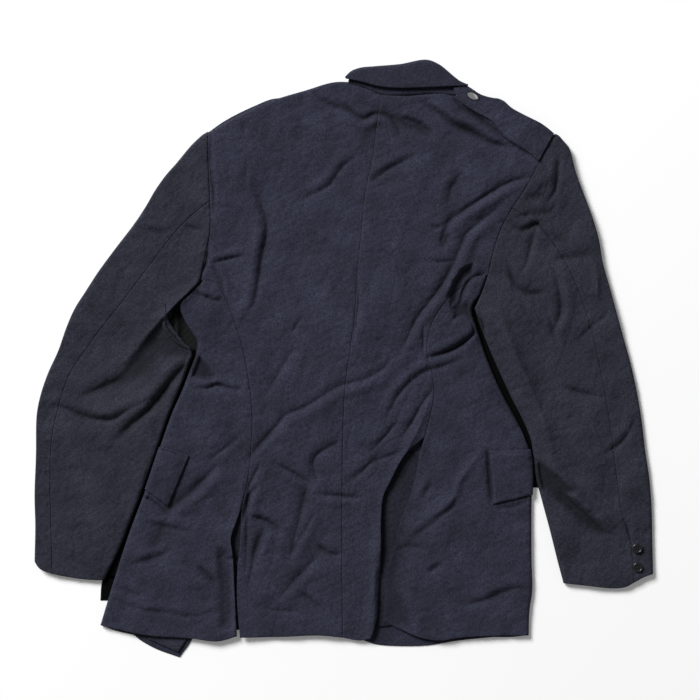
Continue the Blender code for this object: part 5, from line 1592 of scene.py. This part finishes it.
@dataclass
class InnerPieces:
    """Vent underlaps, the left facing, the lapels, the crumpled lining in the left armpit, and near-black
    strips in the gaps beside the arms, painted shade for the shadow there.
    """

    cutter: Cutter
    tuck: float = 2.6
    strip_wall: float = 0.7
    strip_top: float = 0.85
    strip_columns: int = 9
    strip_rows: int = 90
    wave_height: float = 0.12
    flat_columns: int = 16
    flat_rows: int = 60
    armpit_columns: int = 41
    armpit_rows: int = 66
    armpit_span: Point = (112.0, 6.0)

    def flat(self, name: str, first: Points, last: Points, top: float, wall: float, slot: str,
             rests_on: str = TABLE, sunk: Optional[float] = None) -> None:
        """Make a piece that lies flat.

        Args:
            name: The name of the piece.
            first: One of its long sides, from the top down.
            last: The other.
            top: The height of its upper face, in mm.
            wall: Its thickness, in mm.
            slot: The slot of the record that it takes its finish from.
            rests_on: What it lies on.
            sunk: How much painted shade it takes, from 0 to 1, or None to take it from the creases.
        """
        a, b = even(first, self.flat_rows), even(last, self.flat_rows)
        plan = filled(a, b, *(np.linspace(a[k], b[k], self.flat_columns + 1) for k in (0, -1)))
        wave = self.wave_height * (np.sin(plan[..., 1] / 17.0 + plan[..., 0] / 23.0) - 1)
        self.cutter.cloth(name, np.dstack([plan, top + wave]), slot, rests_on=[rests_on], wall=wall,
                          sunk=sunk)

    def gap(self, west: Points, east: Points, down: np.ndarray, columns: int) -> np.ndarray:
        """Fill the gap between an arm and the body, tucked a little under both.

        Args:
            west: The fold on its west side.
            east: The fold on its east side.
            down: Where its rows lie, in mm.
            columns: How many points it has across.

        Returns:
            The grid, indexed [across][down][xy], in mm.
        """
        lines = []
        for points, under in ((west, -self.tuck), (east, self.tuck)):
            line = spline(points)[::-1]
            lines.append(np.column_stack([np.interp(down, line[:, 1], line[:, 0]) + under, down]))
        return np.linspace(lines[0], lines[1], columns)

    def strip(self, name: str, west: Points, east: Points, span: Point, nodes: Sequence[str] = ()) -> None:
        """Make a strip of lining in the gap between an arm and the body, near black with painted shade for
        the shadow there.

        Args:
            name: The name of the piece.
            west: The fold on its west side.
            east: The fold on its east side.
            span: Where it starts and ends down the jacket, in mm.
            nodes: The solids that it stands for.
        """
        plan = self.gap(west, east, np.linspace(*span, self.strip_rows), self.strip_columns)
        grid = np.dstack([plan, np.full(plan.shape[:2], self.strip_top)])
        # Full painted shade: the strip shows as the shadow in the gap.
        self.cutter.cloth(name, grid, "lining", nodes=nodes, wall=self.strip_wall, sunk=1.0)

    def armpit(self) -> None:
        """Make the crumpled lining that shows between the left arm and the body's side."""
        down = np.linspace(*self.armpit_span, self.armpit_rows)
        plan = self.gap(LEFT.arm_inner, LEFT.fold, down, self.armpit_columns)
        folds = sum(height * bell(beside_line(plan.reshape(-1, 2), spline(points))[0] / wide)
                    for points, height, wide in ARMPIT_FOLDS).reshape(plan.shape[:2])
        across = np.linspace(0.0, 1.0, self.armpit_columns)[:, None]
        heights = self.strip_top + folds * ease(np.minimum(across, 1 - across) * 5)
        self.cutter.cloth("lining_armpit", np.dstack([plan, heights]), "lining", nodes=(),
                          wall=self.strip_wall)

    def build(self) -> None:
        """Make every inner piece."""
        for half in (LEFT, RIGHT):
            # Painted shade: the underlaps carry a fixed 0.8, for the shadow under the vent edges.
            self.flat("vent_underlap_" + half.side, half.underlap_out, half.underlap_in, 3.7, 0.9,
                      "wool_back", "front_" + half.side, 0.8)
        self.flat("facing_left", FACING_BACK, FACING_EDGE, 4.6, 1.1, "wool_sleeve", "front_left")
        for half in (LEFT, RIGHT):
            self.flat("lapel_" + half.side, half.lapel_roll, half.lapel_edge, 2.2, 1.9, "wool_collar")
        # Each strip in a gap beside an arm carries painted shade; the right one is only a dark sheet for
        # the shadow there.
        self.strip("lining_left", LEFT.arm_inner, LEFT.fold, (9.0, -304.0), ["lining_left"])
        self.armpit()
        self.strip("lining_left_hem", LEFT.arm_inner[-3:] + [(-334, -335)], LEFT.fold, (-300.0, -334.0))
        self.strip("gap_shadow_sheet_right", [(192, 124)] + RIGHT.fold,
                   [(203, 124)] + RIGHT.armhole_low[:2] + RIGHT.arm_inner, (123.0, -178.0))


@dataclass
class CuffButton:
    """A four hole button, sewn to the cuff with crossed thread."""

    cutter: Cutter
    name: str
    place: Point
    profile: Points = field(default_factory=lambda: [
        (0.0, 0.0), (5.2, 0.0), (6.2, 0.4), (6.8, 1.1), (7.0, 1.8), (6.9, 2.4), (6.5, 3.0), (6.0, 3.3),
        (5.6, 3.4), (5.2, 3.3), (4.8, 3.1), (4.5, 2.7), (4.3, 2.4), (0.0, 2.4)])
    steps: int = 64
    hole: float = 0.9
    reach: float = 1.9
    stand_off: float = 0.3
    thread_height: float = 2.75

    def build(self) -> None:
        """Turn the button, pierce it and sew it on."""
        x, y = self.place
        base = float(top_height(np.array([self.place], float))[0]) + self.stand_off
        button = new_object(self.name + "_turned", [(r, 0.0, z) for r, z in self.profile], [],
                            [(k, k + 1) for k in range(len(self.profile) - 1)])
        button.location = (x * MM, y * MM, base * MM)
        turned = button.modifiers.new("turned", "SCREW")
        turned.angle, turned.steps, turned.render_steps = math.tau, self.steps, self.steps
        turned.use_merge_vertices, turned.merge_threshold = True, 0.00001
        turned.use_normal_calculate, turned.use_normal_flip = True, True
        self.pierce(button, np.array([x, y, base]))
        self.cutter.dress(button, "button", self.cutter.finishes["button"])
        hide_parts(self.name)
        top, bars = base + self.thread_height, []
        for turn in np.radians((45, 135)):
            across, along = math.cos(turn) * self.reach, math.sin(turn) * self.reach
            bars.append(np.array([[x - across, y - along, top - 0.3], [x, y, top + 0.15],
                                  [x + across, y + along, top - 0.3]]))
        self.cutter.stitches(self.name + "_thread", bars, "wool_sleeve", pitch=2 * self.reach * 0.98,
                             thick=0.9)
        LOG.info("%s: 14 mm across, at %s", self.name, self.place)

    def pierce(self, button: bpy.types.Object, centre: np.ndarray) -> None:
        """Cut the four holes and keep the mesh that comes out.

        Args:
            button: The button, still without its holes.
            centre: Where it stands, in mm.
        """
        cutters = []
        for turn in np.radians((45, 135, 225, 315)):
            bpy.ops.mesh.primitive_cylinder_add(
                vertices=20, radius=self.hole * MM, depth=0.01,
                location=(centre + np.array([math.cos(turn), math.sin(turn), 0.0]) * self.reach) * MM)
            cutters.append(bpy.context.object)
            cut = button.modifiers.new("hole", "BOOLEAN")
            cut.operation, cut.solver, cut.object = "DIFFERENCE", "EXACT", cutters[-1]
        bpy.context.view_layer.update()
        button_mesh = bpy.data.meshes.new_from_object(
            button.evaluated_get(bpy.context.evaluated_depsgraph_get()))
        button.modifiers.clear()
        button.data = button_mesh
        button_mesh.shade_smooth()
        button_mesh.set_sharp_from_angle(angle=math.radians(40))
        for cutter in cutters:
            bpy.data.objects.remove(cutter, do_unlink=True)


@dataclass
class Studio:
    """The pale table, a large soft light from the upper left, an even sky and the camera straight above.

    target, distance and view_width are in mm, and the other lengths in metres.
    """

    target: tuple[float, float, float] = (8.97, 12.42, 9.0)
    distance: float = 3000.0
    view_width: float = 966.0
    sky: float = 0.16
    key_place: tuple[float, float, float] = (-6.4, 7.0, 7.5)
    key_size: float = 4.4
    key_watts: float = 1900.0
    table_size: float = 14.0
    table_glow: float = 0.12

    def build(self) -> None:
        """Make the table, the lights and the camera."""
        self.table()
        self.sky_light()
        self.key_light()
        self.camera()

    def table(self) -> None:
        """Make the plain pale table top."""
        bpy.ops.mesh.primitive_plane_add(size=self.table_size, location=(0, 0, -0.0002))
        top = bpy.context.object
        top.name = TABLE
        made, shader = blank_material("pale_painted_board")
        set_inputs(made.node_tree, shader, {
            "Base Color": linear("#F8F8F8"), "Emission Color": linear("#FFFFFF"),
            "Emission Strength": self.table_glow, "Roughness": 0.9, "Specular IOR Level": 0.1})
        top.data.materials.append(made)

    def sky_light(self) -> None:
        """Light the room evenly."""
        world = bpy.data.worlds.new("studio_sky")
        world.use_nodes = True
        set_inputs(world.node_tree, world.node_tree.nodes["Background"],
                   {"Color": (1.0, 1.0, 1.0, 1.0), "Strength": self.sky})
        bpy.context.scene.world = world

    def key_light(self) -> None:
        """Hang a square soft light that points at the jacket."""
        lamp = bpy.data.lights.new("key_softbox", "AREA")
        lamp.shape, lamp.size, lamp.energy = "SQUARE", self.key_size, self.key_watts
        holder = bpy.data.objects.new("key_softbox", lamp)
        bpy.context.scene.collection.objects.link(holder)
        holder.location = self.key_place
        holder.rotation_euler = (-Vector(self.key_place)).to_track_quat("-Z", "Y").to_euler()

    def camera(self) -> None:
        """Look straight down, as the photograph does, with the collar at the top."""
        lens = bpy.data.cameras.new("overhead_camera")
        lens.sensor_width = 36.0
        lens.lens = lens.sensor_width * self.distance / self.view_width
        lens.clip_start, lens.clip_end = 0.1, 20.0
        eye = bpy.data.objects.new("overhead_camera", lens)
        scene = bpy.context.scene
        scene.collection.objects.link(eye)
        x, y, z = self.target
        eye.location = (x * MM, y * MM, (z + self.distance) * MM)
        scene.camera = eye
        scene.view_settings.view_transform = "Standard"
        scene.view_settings.look = "None"


def build_jacket() -> None:
    """Build the jacket's pieces in a maker's order."""
    cutter = Cutter(make_finishes())
    Body(cutter).build()
    for half in (LEFT, RIGHT):
        Sleeve(cutter, half).build()
    Collar(cutter).build()
    Straps(cutter).build()
    for half in (LEFT, RIGHT):
        PocketFlap(cutter, half).build()
    InnerPieces(cutter).build()
    for name, place in CUFF_BUTTONS.items():
        CuffButton(cutter, name, place).build()
    LOG.info("%d pieces", len(cutter.made))


def main() -> None:
    """Build the studio and the jacket."""
    logging.basicConfig(level=logging.INFO, format="%(name)s: %(message)s")
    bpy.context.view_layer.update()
    Studio().build()
    build_jacket()


if __name__ == "__main__":
    main()
